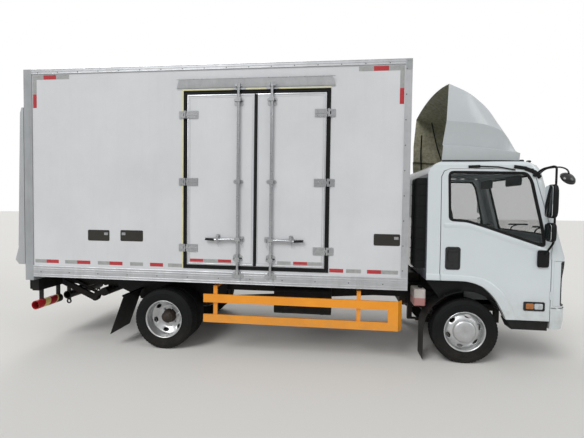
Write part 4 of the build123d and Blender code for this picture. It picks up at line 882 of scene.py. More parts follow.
def cabSide(z):
    # half width of the cab, straight between its levels
    return np.interp(z, cab["levels"], cab["half"])


def cabNose(y, z):
    # the middle is an arc of rise bow over half chord h, with radius (h^2 + bow^2) / (2 bow); past h comes the
    # corner's arc of radius turn
    y, side = np.abs(np.asarray(y, float)), cabSide(z)
    nose, h = fa + np.interp(z, cab["levels"], cab["nose"]), side - cab["drop"]
    radius = (h * h + cab["bow"] ** 2) / (2 * cab["bow"])
    front = nose - radius + np.sqrt(radius ** 2 - np.minimum(y, h) ** 2)
    left = np.maximum(cab["turn"] ** 2 - (y - side + cab["turnIn"]) ** 2, 0)
    return np.where(y < h, front, nose - cab["run"] + cab["lead"] + np.sqrt(left))


def cabWidth(x, z):
    # the same corner, as the half width at x
    over = np.maximum(x - (fa + np.interp(z, cab["levels"], cab["nose"]) - cab["run"] + cab["lead"]), 0)
    return cabSide(z) - cab["turnIn"] + np.sqrt(np.maximum(cab["turn"] ** 2 - over ** 2, 0))


def onSide(points, proud=0.0, closed=False, bend=0.04):
    # (x ahead of the axle, z) points, rounded, laid on the right side of the cab
    path = bent([(fa + x, 0, z) for x, z in points], bend, closed)
    path[:, 1] = -cabWidth(path[:, 0], path[:, 2]) - proud
    return path


def onNose(points, proud=0.0, closed=True, bend=0.04, step=0.04):
    # (y, z) points, rounded and cut fine, laid on the front of the cab
    path = dense(bent([(0, y, z) for y, z in points], bend, closed), step, closed)
    path[:, 0] = cabNose(path[:, 1], path[:, 2]) + proud
    return path


def kept(part):
    # the part as it is
    return part


# parts drawn on the right side, and parts drawn on the left side
sides = (("right", kept), ("left", flipped))
leftSides = (("left", kept), ("right", flipped))
window = [(-0.225, 1.776), (-0.238, 2.34), (-0.205, 2.364), (0.65, 2.354), (0.712, 2.258), (0.838, 1.69),
          (0.862, 1.502), (0.838, 1.484), (0.552, 1.58), (0.188, 1.702), (-0.02, 1.764)]
rubber = [(-0.02, 0.01), (-0.018, -0.002), (-0.006, -0.006), (0.006, -0.0055), (0.014, 0.001), (0.012, 0.012),
          (-0.008, 0.024)]
windowRubber = carried(rubber, onSide(window, 0.0, True, 0.05), closed=True)
handle = {"x": (fa - 0.265, fa - 0.098), "z": (1.178, 1.446)}


def handleParts():
    # a raised bezel round a sunk tray, with a curved paddle across its upper part
    y, x, z = -cab["half"][0], sum(handle["x"]) / 2, handle["z"][0]
    bezel = carried([(-0.006, 0.002), (-0.005, -0.006), (0.004, -0.01), (0.014, -0.008), (0.017, 0.002)],
                    bent(framed(handle["x"], handle["z"], y), 0.03, True), closed=True)
    tray = plate(*between(handle["x"], y - 0.001, handle["z"], 0.004), "y", 0.028)
    paddle = pillow((x, y - 0.009, z + 0.165), (0.118, 0.018, 0.15), "y", 5, 3)
    lock = lathe([(0, 0.004), (0.01, 0.004), (0.012, 0.0), (0, 0.0)], (x, y - 0.006, z + 0.045), -1, 20)
    return joined(bezel, tray, paddle, lock)


lamp = {"x": (fa + 0.645, fa + 0.882), "z": (0.71, 0.816)}


def indicatorParts():
    # side lamp: bezel with its back plate, amber lens and clear lens
    (x0, x1), y, z = lamp["x"], -cab["half"][0], sum(lamp["z"]) / 2
    bezel = carried([(-0.002, 0.002), (-0.001, -0.008), (0.012, -0.01), (0.016, 0.002)],
                    bent(framed(lamp["x"], lamp["z"], y), 0.018, True), closed=True)
    back = plate(*between(lamp["x"], y - 0.001, lamp["z"], 0.003), "y", 0.016)
    amber = pillow((x0 + 0.07, y - 0.004, z), (0.09, 0.016, 0.07), "y", 6, 3)
    clear = pillow((x1 - 0.068, y - 0.004, z), (0.094, 0.016, 0.07), "y", 6, 3)
    return joined(bezel, back), amber, clear


# weather strip over the window: a slim lip that thickens at its rear clip and over the windscreen pillar
strip = [((-0.017, 2.424), (0.115, 2.431), 0.017), ((0.1, 2.432), (0.333, 2.424), 0.007),
         ((0.32, 2.425), (0.514, 2.388), 0.007), ((0.505, 2.428), (0.64, 2.408), 0.02),
         ((0.63, 2.406), (0.74, 2.362), 0.022), ((0.73, 2.366), (0.8, 2.3), 0.024)]


def stripPart():
    # a rod with bevelled edges for each length of the strip, as wide as twice its half
    rods = []
    for a, b, half in strip:
        profile = [(-half, 0.004), (-half, -0.01), (-half * 0.5, -0.016), (half * 0.5, -0.016), (half, -0.01),
                   (half, 0.004)]
        rods.append(carried(profile, onSide([a, b], 0.002)))
    return joined(*rods)


# painted strip round the wheel opening: matching points of its crease and of the opening's edge, ahead of the axle
flare = {"crease": [(-0.489, 1.116), (-0.33, 1.115), (-0.315, 1.115), (-0.099, 1.11), (0.06, 1.1), (0.19, 1.073),
                    (0.315, 1.0), (0.431, 0.885), (0.526, 0.721), (0.572, 0.592)],
         "edge": [(-0.488, 1.038), (-0.33, 1.038), (-0.315, 1.038), (-0.08, 1.038), (0.015, 1.03), (0.12, 1.0),
                  (0.215, 0.945), (0.318, 0.836), (0.404, 0.69), (0.449, 0.592)], "ring": 0.508,
         "depth": [0.944, 0.938, 0.926, 0.916],
         "rows": [(-0.02, -0.004), (0, 0.0005), (0.1, 0.0075), (0.22, 0.01), (0.6, 0.0135), (0.93, 0.0165),
                  (1.0, 0.0135), (1.02, 0.004), (1.02, -0.04), (0.97, -0.04), (0.97, -0.004)]}


def flarePart(start, end):
    # each row lies at its share between crease and edge, and its height over the cab's side
    line = [np.array(flare[key][start:end + 1]) for key in ("crease", "edge")]
    crease, edge = (curve(points, 12 * (end - start) + 1)[:, None] for points in line)
    share, proud = np.array(flare["rows"]).T
    flat = crease + share[None, :, None] * (edge - crease)
    x, z = fa + flat[..., 0], flat[..., 1]
    return skin(np.stack([x, -cabWidth(x, z) - proud, z], -1))


def linerPart():
    # black sheet inside the opening: from just inside the edge down to the mudguard's ring, by share s
    edge = curve(np.array(flare["edge"]), 70)
    turn = np.arctan2(edge[:, 1] - tyre["radius"], edge[:, 0])
    ring = flare["ring"] * np.stack([np.cos(turn), np.sin(turn)], -1) + (0, tyre["radius"])
    s = np.array([0, 0.3, 0.7, 1])[None, :, None]
    flat = (edge * 0.985 + (0, 0.006))[:, None] * (1 - s) + ring[:, None] * s
    return shell(spots(fa + flat[..., 0], -np.array(flare["depth"]), flat[..., 1]), 0.004)


for side, turn in sides:
    body = f"cab_door_{side}"
    makePiece(f"window_rubber_{side}", turn(joined(windowRubber, stripPart())), "sealRubber", body)
    makePiece(f"door_handle_{side}", turn(handleParts()), "glossPlastic", body)
    bezel, amber, clear = indicatorParts()
    makePiece(f"side_lamp_bezel_{side}", turn(bezel), "glossPlastic", body)
    makePiece(f"side_lamp_amber_{side}", turn(amber), "amberLens", body)
    makePiece(f"side_lamp_clear_{side}", turn(clear), "clearLens", body)
    makePiece(f"wheel_flare_{side}", turn(flarePart(2, 9)), "cabEnamel", body, sharp=50)
makePiece("rear_flares", bothSides(flarePart(0, 1)), "cabEnamel", sharp=50)
makePiece("arch_liners", bothSides(linerPart()), "grainedPlastic")
# black sheets inboard of the wheels, a guess: the photograph is black there, mostly shade, so the sheets are painted
# shade; front ones under the cab floor, rear ones hung from the bearers
shadeSheets = [(-0.468, [(2.58, 0.552), (2.62, 0.7), (3.02, 0.7), (3.02, 0.6), (2.96, 0.552)]),
          (-0.542, [(-2.4, 0.7), (-2.46, 0.884), (-0.72, 0.884), (-0.76, 0.64), (-0.95, 0.566), (-2.1, 0.566)])]
shadeSheetParts = [slab(outline, "y", y - 0.002, y + 0.002) for y, outline in shadeSheets]
makePiece("painted_shade_sheets", bothSides(joined(*shadeSheetParts)), "grainedPlastic")


# Roof fairing: place ahead of the axle, half widths of base and lip, lip's height, edge, top, crown's height
fairing = {"foot": 2.4933, "lean": 0.062, "lip": 2.683, "rise": 0.997, "fade": (0.1, 0.425), "wall": 0.004,
           "lining": 0.003,
           "stations": np.array([(-0.325, 0.93, 0.985, 2.683, 1.045, 2.965, 1.0, 3.436, 3.532),
                                 (-0.06, 0.93, 0.985, 2.665, 1.035, 2.945, 0.965, 3.322, 3.415),
                                 (0.11, 0.928, 0.98, 2.65, 1.02, 2.925, 0.91, 3.218, 3.308),
                                 (0.235, 0.925, 0.975, 2.637, 1.0, 2.895, 0.862, 3.117, 3.198),
                                 (0.35, 0.92, 0.965, 2.624, 0.97, 2.85, 0.822, 2.978, 3.048),
                                 (0.425, 0.912, 0.955, 2.616, 0.93, 2.79, 0.8, 2.886, 2.94),
                                 (0.5, 0.9, 0.94, 2.608, 0.89, 2.7, 0.782, 2.748, 2.788),
                                 (0.548, 0.89, 0.925, 2.604, 0.872, 2.634, 0.775, 2.655, 2.682),
                                 (0.598, 0.87, 0.89, 2.598, 0.852, 2.603, 0.77, 2.606, 2.612)])}


def fairingGrid():
    # rows of flange, foot, lip and its ledge, widest edge, top corner, then an arc y = top (1 - s), with z up to the
    # crown by 1 - (1 - s)^2; each point then slides along its own line, forward by lean over the height above the lip
    table = curve(fairing["stations"], 49)
    ahead, base, lip, lipZ, edge, edgeZ, top, topZ, crown = table.T
    foot = np.full(len(table), fairing["foot"])
    keys = [(base - 0.05, foot), (base, foot), (lip, lipZ), (lip - 0.04, lipZ + 0.011), (edge, edgeZ), (top, topZ)]
    keys += [(top * (1 - s), topZ + (crown - topZ) * (1 - (1 - s) ** 2)) for s in np.linspace(0.1, 1, 10)]
    flat = cornered(np.stack([np.stack(pair, -1) for pair in keys], 1), 0.004, 3)
    fade = np.clip((fairing["fade"][0] - ahead) / fairing["fade"][1], 0, 1) ** 1.5
    right = []
    for half, height in np.moveaxis(flat, 1, 0).transpose(0, 2, 1):
        spot = ahead
        for again in range(4):
            share = np.clip((np.interp(spot, ahead, height) - fairing["lip"]) / fairing["rise"], 0, 1)
            spot = ahead + fade * fairing["lean"] * share
        right.append(np.stack([fa + spot, -np.interp(spot, ahead, half), np.interp(spot, ahead, height)], -1))
    right = np.stack(right, 1)
    return np.concatenate([right, right[:, -2::-1] * (1, -1, 1)], 1)


grid = fairingGrid()
normals = unit(np.cross(np.gradient(grid, axis=0), np.gradient(grid, axis=1)))
outward = np.sign(normals[20, grid.shape[1] // 2, 2])
nosePlate = grid[-1] + (0.0005, 0, 0)
fairingPart = joined(shell(grid, fairing["wall"] * outward), skin(np.stack([nosePlate, nosePlate - (0.006, 0, 0)])))
makePiece("fairing_skin", fairingPart, "mouldedShell", replaces=["roof_fairing"], sharp=22)
makePiece("fairing_lining", shell((grid - outward * 0.0045 * normals)[:-1], fairing["lining"] * outward),
          "rawLaminate", sharp=22)
footX = np.linspace(-0.322, 0.6, 24)
footPath = spots(fa + footX, -np.interp(footX, *fairing["stations"].T[:2]) - 0.002, 2.4945)
footPath = np.vstack([footPath, footPath[::-1] * (1, -1, 1)])
makePiece("fairing_seal", carried([(-0.006, 0), (0.005, 0), (0.006, 0.012), (0.002, 0.016), (-0.004, 0.014)],
                                  footPath, (0, 0, 1)), "sealRubber")
# stays inside the fairing: upright, level with its foot plate, and slanting
upright = [(fa - 0.215, 0.8, 2.498), (fa - 0.225, 0.83, 2.8), (fa - 0.215, 0.84, 3.12)]
level = [(fa - 0.215, 0.8, 2.505), (fa - 0.16, 0.4, 2.51), (fa - 0.16, 0.0, 2.51)]
slanting = [(fa + 0.1, 0.55, 2.498), (fa - 0.02, 0.62, 2.9), (fa - 0.1, 0.66, 3.29)]
strutParts = [tube(upright, 0.012, (1, 0, 0), 0.08), tube(level, 0.012, (1, 0, 0), 0.05),
              plate((fa - 0.215, 0.8, 2.5), (0.08, 0.06, 0.01), "z", 0.01, 0.002), tube(slanting, 0.01, bend=0.08)]
makePiece("fairing_struts", bothSides(joined(*strutParts)), "chassisEnamel")


def mirrorParts():
    # bent arm, two housings with rounded backs, their clamps, and their glasses
    y, post = -1.125, fa + 0.895
    route = [(fa + 0.728, -0.972, 2.31), (fa + 0.79, -1.012, 2.395), (post, y, 2.425), (post, y, 1.54),
             (fa + 0.85, -1.02, 1.38)]
    arm = carried(circle(0.0118), bent(route, 0.045, steps=8))
    foot = pillow((fa + 0.84, -1.0165, 1.337), (0.13, 0.031, 0.204), "y", 8, 5)
    crest = pillow((fa + 0.835, -1.024, 1.392), (0.11, 0.016, 0.05), "y", 5, 3)
    front = post - 0.045
    parts = [arm, foot, crest, studs([(fa + 0.8, -1.0315, 1.42), (fa + 0.88, -1.0315, 1.27)], 0.01, 0.004)]
    parts.append(plate((fa + 0.745, -0.982, 2.335), (0.07, 0.024, 0.05), "y", 0.01, 0.004))
    glasses = []
    for z0, z1, wide, depth in ((1.822, 2.21, 0.192, 0.074), (1.55, 1.77, 0.178, 0.066)):
        middleY, middleX = -1.03 - wide / 2 - 0.002, front + 0.01
        parts.append(pillow((middleX, middleY, (z0 + z1) / 2), (depth, wide, z1 - z0), "x", 5, 3.2, 13, 48))
        parts.append(pillow((post, y, (z0 + z1) / 2), (0.04, 0.05, 0.07), "y", 5, 3, 9, 24))
        size = (0.006, wide - 0.03, z1 - z0 - 0.03)
        glasses.append(plate((middleX - depth / 2 + 0.001, middleY, (z0 + z1) / 2), size, "x", 0.03, 0.001))
    return joined(*parts), joined(*glasses)


housings, glasses = mirrorParts()
for side, turn in sides:
    makePiece(f"mirror_arm_{side}", turn(housings), "grainedPlastic", f"cab_door_{side}",
              [f"mirror_{side}"])
    makePiece(f"mirror_glass_{side}", turn(glasses), "silveredGlass", f"cab_door_{side}")
# round convex mirror over the near front corner, with its arm from the pillar
dome = {"centre": (fa + 1.092, -0.99, 2.29), "axis": (0.22, -0.74, 0.62)}
domePart = turnedAbout([(0, 0.044), (0.03, 0.041), (0.058, 0.031), (0.078, 0.016), (0.089, 0.0), (0.092, -0.008),
                        (0.088, -0.013), (0.084, -0.009), (0, -0.006)], dome["centre"], dome["axis"])
domeArm = tube([(fa + 0.8, -0.93, 2.34), (fa + 0.85, -0.975, 2.405), (fa + 1.0, -0.99, 2.425),
                (fa + 1.085, -0.99, 2.395), (fa + 1.103, -0.995, 2.325)], 0.009, bend=0.05)
domeGlass = turnedAbout([(0, -0.024), (0.04, -0.021), (0.07, -0.014), (0.083, -0.009), (0, -0.008)], dome["centre"],
                        dome["axis"])
roofKnobs = [pillow((fa + 0.632, y, 2.508), (0.055, 0.05, 0.034), "z", 4, 2.6) for y in (-0.845, 0.845)]
roofKnobs += [pillow((fa + 0.722, y, 2.503), (0.05, 0.046, 0.03), "z", 4, 2.6) for y in (-0.83, 0.83)]
makePiece("round_mirror", joined(domePart, domeArm, *roofKnobs), "glossPlastic")
makePiece("round_mirror_glass", domeGlass, "silveredGlass")
print("cab sides done")


# Cab front
screen = [(-0.85, 1.585), (0.85, 1.585), (0.81, 2.365), (-0.81, 2.365)]
outwards = (-0.964, 0, -0.265)
screenRubber = [(-0.026, 0.012), (-0.024, -0.001), (-0.01, -0.005), (0.008, -0.005), (0.018, 0.0), (0.02, 0.018),
                (-0.01, 0.028)]
frontParts = [carried(screenRubber, onNose(screen, 0, True, 0.06), outwards, True)]
for pivot, tip in ((-0.1, -0.74), (0.62, -0.02)):
    # arm from its spindle to the blade, blade along the foot of the glass
    blade = onNose([(pivot - 0.06, 1.675), (tip, 1.7)], 0.016, False, 0.01)
    frontParts.append(carried([(-0.012, -0.006), (0.012, -0.006), (0.004, 0.01), (-0.004, 0.01)], blade, outwards))
    frontParts.append(carried([(-0.009, -0.005), (0.009, -0.005), (0.006, 0.005), (-0.006, 0.005)],
                              onNose([(pivot, 1.548), (pivot - 0.1, 1.64), ((pivot + tip) / 2 - 0.02, 1.692)],
                                     0.028, False, 0.03), outwards))
    frontParts.append(turnedAbout([(0.02, 0), (0.02, 0.022), (0.014, 0.03), (0, 0.03)],
                                  (float(cabNose(pivot, 1.548)), pivot, 1.548), (0.96, 0, 0.27), 20))
# black infill line over the bumper, frame of the grille
infill = np.vstack([[(fa + 0.955, -1.0, 0.752)], onNose([(-0.9863, 0.752), (0.9863, 0.752)], 0, False, 0.01, 0.03),
                    [(fa + 0.955, 1.0, 0.752)]])
frontParts.append(carried(lath(0.007, 0.007, 0.002, -0.0025), infill, (0, 0, 1)))
grille = onNose([(-0.53, 0.842), (0.53, 0.842), (0.53, 1.188), (-0.53, 1.188)], -0.002, True, 0.05)
frontParts.append(carried(lath(0.012, 0.01, 0.004, -0.0015), grille, (-1, 0, 0), True))
makePiece("windscreen_rubber_and_wipers", joined(*frontParts), "sealRubber")
makePiece("front_plate", plate((float(cabNose(0, 0.8)) + 0.0015, 0, 0.798), (0.003, 0.52, 0.092), "x", 0.006, 0.001),
          "gelcoatPanel")

headlamp = {"z": np.array([0.778, 0.86, 0.925, 0.958, 0.966, 0.974, 0.984, 0.996, 1.01, 1.1, 1.2, 1.306]),
            "inner": np.array([0.566, 0.566, 0.566, 0.568, 0.59, 0.65, 0.725, 0.79, 0.834, 0.86, 0.887, 0.914]),
            "outer": 0.9863}


def lampGrid(inset, shrink=0.0):
    # across by share from the inner border to the corner, on the cab's front less inset
    s = np.linspace(0, 1, 26)[None, :]
    z = headlamp["z"][:, None] + 0 * s
    low = headlamp["inner"][:, None] + shrink
    y = low + (headlamp["outer"] - shrink - low) * np.sqrt(1 - (1 - s) ** 2)
    return np.stack([cabNose(y, z) - inset, y - inset * 0.5 * (y > 0.9) * (y - 0.9) / 0.08, z], -1)


border = [(0.566, 0.778), (0.9863, 0.778), (0.9863, 1.306), (0.914, 1.306), (0.834, 1.01), (0.59, 0.966),
          (0.566, 0.95)]
rimPath = onNose(border, 0.0, True, 0.02, 0.03)
rimPart = carried([(-0.006, -0.001), (0.006, -0.001), (0.006, 0.052), (-0.002, 0.052)], rimPath, (-1, 0, 0), True)
cornerZ = np.array([0.7775, 0.95, 1.13, 1.3065])[:, None]
# the body's corner beside the lamp: round the corner's arc for turns above 0, straight back below
cornerTurn = np.radians(np.linspace(-8, 27, 9))[None, :]
ahead, behind = np.maximum(cornerTurn, 0), np.minimum(cornerTurn, 0)
cornerX = fa + cab["nose"][0] - cab["run"] + cab["lead"] + cab["turn"] * np.sin(ahead) + 0.235 * behind
cornerGrid = spots(cornerX, cab["half"][0] - cab["turnIn"] + cab["turn"] * np.cos(ahead), cornerZ)
lensPart = shell(lampGrid(0.022, 0.008), 0.004)
backPart = shell(lampGrid(0.05), -0.004)
bowls = [turnedAbout([(0.07, 0.03), (0.072, 0.034), (0.068, 0.034), (0.06, 0.012), (0.03, -0.012), (0, -0.014),
                      (0, -0.018), (0.032, -0.016)], (fa + 1.088, y, 0.868), (1, 0, 0), 36) for y in (0.645, 0.8)]
for side, turn in leftSides:
    for name, part, slotName, finish in (
            ("corner", shell(cornerGrid, 0.003), "white_paint", "cabEnamel"),
            ("housing", joined(rimPart, backPart), "black_plastic", "glossPlastic"),
            ("reflectors", joined(*bowls), "lamp_glass", "silveredGlass"),
            ("lens", lensPart, "lamp_glass", "clearGlass")):
        makePiece(f"lamp_{name}_{side}", turn(part), finish, replaces=["headlamps"])
print("cab front done")


# Cab inside
def pad(centre, ahead, across, size, seams=(), count=45):
    # both faces: height H ((1 - u^6)(1 - v^6))^0.5 over the outline, with grooves e^(-((v - seam) / 0.035)^2)
    u, v = np.meshgrid(np.linspace(-1, 1, count), np.linspace(-1, 1, count), indexing="ij")
    ahead, across = unit(np.asarray(ahead, float)), unit(np.asarray(across, float))
    up = np.cross(ahead, across)
    rise = np.sqrt(np.maximum((1 - u ** 6) * (1 - v ** 6), 0))
    groove = sum((np.exp(-((v - seam) / 0.035) ** 2) for seam in seams), np.zeros_like(v))
    drawIn = 1 - 0.03 * (u ** 2) * (v ** 2)
    u, v = (share[..., None] * drawIn[..., None] * length / 2 for share, length in zip((u, v), size))
    flat = np.asarray(centre, float) + u * ahead + v * across
    faces = [flat + (way * size[2] / 2 * rise * (1 - 0.2 * groove * (way > 0)))[..., None] * up for way in (1, -1)]
    return joined(*[skin(face, wrapCols=False, capped=False) for face in faces])


def padBorder(centre, ahead, across, size, radius):
    # piping round the same outline
    turn = np.linspace(-1, 1, 12)[:-1]
    one = np.ones(11)
    ring = np.concatenate([np.stack(pair, -1)
                           for pair in ((turn, -one), (one, turn), (-turn, one), (-one, -turn))]) * 0.995
    ring = ring * (1 - 0.03 * (ring[:, :1] ** 2) * (ring[:, 1:] ** 2))
    ahead, across = unit(np.asarray(ahead, float)), unit(np.asarray(across, float))
    path = np.asarray(centre, float) + ring[:, :1] * size[0] / 2 * ahead + ring[:, 1:] * size[1] / 2 * across
    return carried(circle(radius, 8), path, np.cross(ahead, across), True)


seat = {"y": -0.525, "seams": (-0.56, -0.19, 0.19, 0.56), "pads": {
    "cushion": ((0.078, 1.318), (1, 0, 0.06), 1, (0.5, 0.53, 0.15)),
    "backrest": ((-0.142, 1.66), (-0.122, 0, 0.99), -1, (0.56, 0.48, 0.115)),
    "headrest": ((-0.205, 2.055), (-0.122, 0, 0.99), -1, (0.165, 0.27, 0.095))}}
for side, turn in sides:
    y, piping = seat["y"], []
    for name, ((x, z), ahead, way, size) in seat["pads"].items():
        seams = () if name == "headrest" else seat["seams"]
        soft = pad((fa + x, y, z), ahead, (0, way, 0), size, seams)
        piece = makePiece(f"seat_{name}_{side}", turn(soft), "seatCloth", replaces=["seats"], sharp=60)
        piping.append(padBorder((fa + x, y, z), ahead, (0, 1, 0), size, 0.005))
    base = [plate((fa + 0.075, y, 1.17), (0.4, 0.4, 0.13), "z", 0.03, 0.006),
            plate((fa + 0.075, y, 1.243), (0.47, 0.5, 0.022), "z", 0.03, 0.006)]
    stalks = [tube([(fa - 0.185, y + way, 1.9), (fa - 0.199, y + way, 2.03)], 0.006) for way in (-0.06, 0.06)]
    makePiece(f"seat_frame_{side}", turn(joined(*piping, *base, *stalks)), "grainedPlastic",
              replaces=["seats"])

steering = {"rake": math.radians(25), "place": np.array([fa + 0.6, 0.48, 1.59]), "radius": 0.205,
            "spokes": (0.35, math.pi - 0.35, 1.22 * math.pi, 1.78 * math.pi)}


def steeringParts():
    # rim: place + radius (cos t side + sin t across), in the plane that rake tips back; spokes, boss and column
    wheelAxis = np.array([-math.sin(steering["rake"]), 0, math.cos(steering["rake"])])
    wheelSide, across = np.array([wheelAxis[2], 0, -wheelAxis[0]]), np.array([0, 1, 0])
    t = np.linspace(0, 2 * np.pi, 48, endpoint=False)[:, None]
    at = steering["place"]
    hoop = at + steering["radius"] * (np.cos(t) * wheelSide + np.sin(t) * across)
    parts = [carried(circle(0.016), hoop, wheelAxis, True),
             turnedAbout([(0.07, -0.03), (0.078, 0.0), (0.066, 0.018), (0, 0.024)], at, wheelAxis),
             turnedAbout([(0.042, 0), (0.046, -0.1), (0.034, -0.11), (0.032, -0.24), (0, -0.24)], at, wheelAxis)]
    for angle in steering["spokes"]:
        way = math.cos(angle) * across - math.sin(angle) * wheelSide
        ends = [at + 0.05 * way, at + 0.195 * way + 0.004 * wheelAxis]
        parts.append(carried(circle(0.015, 10) * (1.0, 0.5), ends, wheelAxis))
    return joined(*parts)


# dashboard: outline (x, z) at each y, its top raised by hood times lift, its front drawn back to clear the cab's nose
dash = {"y": [-0.905, -0.88, -0.6, -0.3, 0.1, 0.22, 0.34, 0.48, 0.62, 0.72, 0.8, 0.88, 0.905],
        "hood": [0, 0, 0.01, 0.01, 0.01, 0.03, 0.055, 0.065, 0.055, 0.03, 0.01, 0, 0],
        "lift": [0, 0, 0, 0, 0.7, 1, 0.8, 0],
        "keys": [(0.7, 1.235), (0.85, 1.235), (0.93, 1.42), (0.99, 1.505), (0.86, 1.515), (0.76, 1.53),
                 (0.69, 1.48), (0.705, 1.33)]}


def dashParts():
    # the dash's section at each y: keys raised by hood times lift, drawn back towards both ends
    keys, lift = np.array(dash["keys"]), np.array(dash["lift"])
    rings = []
    for y, hood in zip(dash["y"], dash["hood"]):
        x = keys[:, 0] - 0.012 * (abs(y) > 0.9)
        z = keys[:, 1] + hood * lift
        drawn = np.minimum(0, 0.985 - keys[:, 0] - 0.12 * max(0.0, abs(y) - 0.5)) * (x > 0.9)
        rings.append(bent(spots(fa + x + drawn, y, z), 0.03, True, 4))
    parts = [skin(np.stack(rings)), plate((fa + 0.772, 0, 1.16), (0.115, 0.36, 0.2), "y", 0.03, 0.01)]
    parts += [plate((fa + 0.692, y, 1.435), (0.016, 0.11, 0.06), "x", 0.012, 0.004)
              for y in (-0.8, -0.15, 0.15, 0.8)]
    parts.append(plate((fa + 0.696, 0.0, 1.355), (0.016, 0.23, 0.07), "x", 0.012, 0.004))
    # sun visors, gear lever and its knob
    parts += [plate((fa + 0.705, y, 2.285), (0.02, 0.46, 0.13), "x", 0.03, 0.008) for y in (-0.47, 0.47)]
    parts.append(tube([(fa + 0.5, 0.1, 1.1), (fa + 0.49, 0.1, 1.3), (fa + 0.47, 0.1, 1.44)], 0.01))
    parts.append(pillow((fa + 0.468, 0.1, 1.462), (0.048, 0.044, 0.064), "z", 3, 2.4))
    return joined(*parts)


makePiece("dash_and_steering", joined(dashParts(), steeringParts()), "trimPlastic",
          replaces=["dashboard_and_steering_wheel"])
trim = [(fa - 0.3, 1.1), (fa - 0.3, 1.73), (fa - 0.02, 1.735), (fa + 0.188, 1.672), (fa + 0.552, 1.552),
        (fa + 0.838, 1.45), (fa + 0.838, 1.29), (fa + 0.35, 1.1)]
card = joined(slab(trim, "y", 0.922, 0.9395), pillow((fa + 0.2, 0.912, 1.36), (0.62, 0.03, 0.055), "y", 4, 2.6),
              pillow((fa + 0.1, 0.915, 1.22), (0.7, 0.024, 0.1), "y", 5, 3))
for side, turn in leftSides:
    makePiece(f"door_card_{side}", turn(card), "trimPlastic", f"cab_door_{side}")
print("cab inside done")


# Side door fittings: drip rail, hinge feet, keepers
dripLine = np.array([(-1.1303, 3.384), (-1.142, 3.384), (-1.1475, 3.39), (-1.158, 3.44), (-1.1665, 3.482),
                     (-1.169, 3.4915)])
slant = (dripLine[:, 1] - dripLine[0, 1]) * 0.35
dripGrid = np.stack([spots(x, *dripLine.T) for x in (dripX[0] + slant, dripX[1] - slant)])
drip = joined(shell(dripGrid, 0.0035), plate(((dripX[0] + dripX[1]) / 2, -1.1325, 3.378),
                                             (dripX[1] - dripX[0] - 0.01, 0.004, 0.014), "y", 0.002))
makePiece("drip_rail", drip, "anodisedRail", replaces=["side_door_fittings"])
feet, face, railY = [], wall["face"], wall["rail"]
for x, sign in hinges:
    for level in door["hinges"]:
        feet.append(plate((x - sign * 0.052, face - 0.005, level), (0.057, 0.01, 0.095), "y", 0.008, 0.0015))
        for z in (level - 0.0318, level + 0.0318):
            feet.append(collar((x, face - 0.024, z), 0.0135, 0.0155))
            feet.append(plate((x - sign * 0.014, face - 0.014, z), (0.03, 0.01, 0.03), "y", 0.003, 0.001))
for x in ((frameLow.x + frameHigh.x) / 2 + way * 0.21 for way in (-1, 1)):
    feet.append(plate((x, railY - 0.004, 1.032), (0.15, 0.008, 0.062), "y", 0.014, 0.0015))
    feet.append(plate((x, face - 0.01, 3.366), (0.15, 0.019, 0.026), "y", 0.008, 0.0015))
    feet.append(hexHeads([(x + a, railY - 0.008, z) for a in (-0.024, 0.024) for z in (0.996, 1.066)], 0.0075, 0.005))
    feet.append(tube([(x + 0.03, railY - 0.012, 1.045), (x + 0.04, railY - 0.013, 1.0),
                      (x + 0.034, railY - 0.012, 0.965)], 0.003, bend=0.02, sides=8))
makePiece("hinge_feet_and_keepers", joined(*feet), "zincPlate", replaces=["side_door_fittings"])
print("door fittings done")


# Rear end
rear = {"portal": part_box("rear_portal_frame")[0].x, "slope": ([1.135, 1.315, 3.139, 3.2], [0.14, 0.09, 0.045, 0.027]),
        "deck": 0.06, "half": 1.08, "pitch": 0.149, "lean": (1, 0, 0.02)}
portalX = rear["portal"]


def platformX(z):
    # outer face of the stowed platform: its deck's place less the thickness at that height
    return portalX - rear["deck"] - np.interp(z, *rear["slope"])


def platformParts():
    # planks' lips across the outer face on its slope, frame strips up it, tread ribs on the inner face, and dark strips
    # at the seams between the planks, a painted shade of the grooves there
    half, lean = rear["half"] - 0.02, rear["lean"]
    ribs = [carried(lath(0.011, 0.009, 0.001, -0.0045), [(platformX(z), -half, z), (platformX(z), half, z)], lean)
            for z in np.arange(1.34, 3.13, rear["pitch"])]
    ribs += [carried(lath(0.02, 0.018, 0.001, -0.006), [(platformX(z), y, z) for z in np.linspace(1.32, 3.135, 8)],
                     lean) for y in (-half, -0.36, 0.36, half)]
    deckX, inner = portalX - rear["deck"], rear["half"] - 0.05
    tread = [carried(lath(0.004, 0.002, 0.0005, -0.002), [(deckX, -inner, z), (deckX, inner, z)], (-1, 0, 0))
             for z in np.arange(1.16, 3.16, 0.032)]
    seams = [carried(lath(0.0015, 0.0015, 0.001, -0.001), [(platformX(z), -half, z), (platformX(z), half, z)], lean)
             for z in np.arange(1.355, 3.13, rear["pitch"])]
    return joined(*ribs), joined(*seams), joined(*tread)


# the seams' strips take the dark cast-iron finish as painted shade of the grooves between the planks
platformLooks = {"ribs": "plankAluminium", "seams": "castIron", "tread": "zincPlate"}
for part, (name, finish) in zip(platformParts(), platformLooks.items()):
    makePiece(f"platform_{name}", part, finish, "lift_platform")

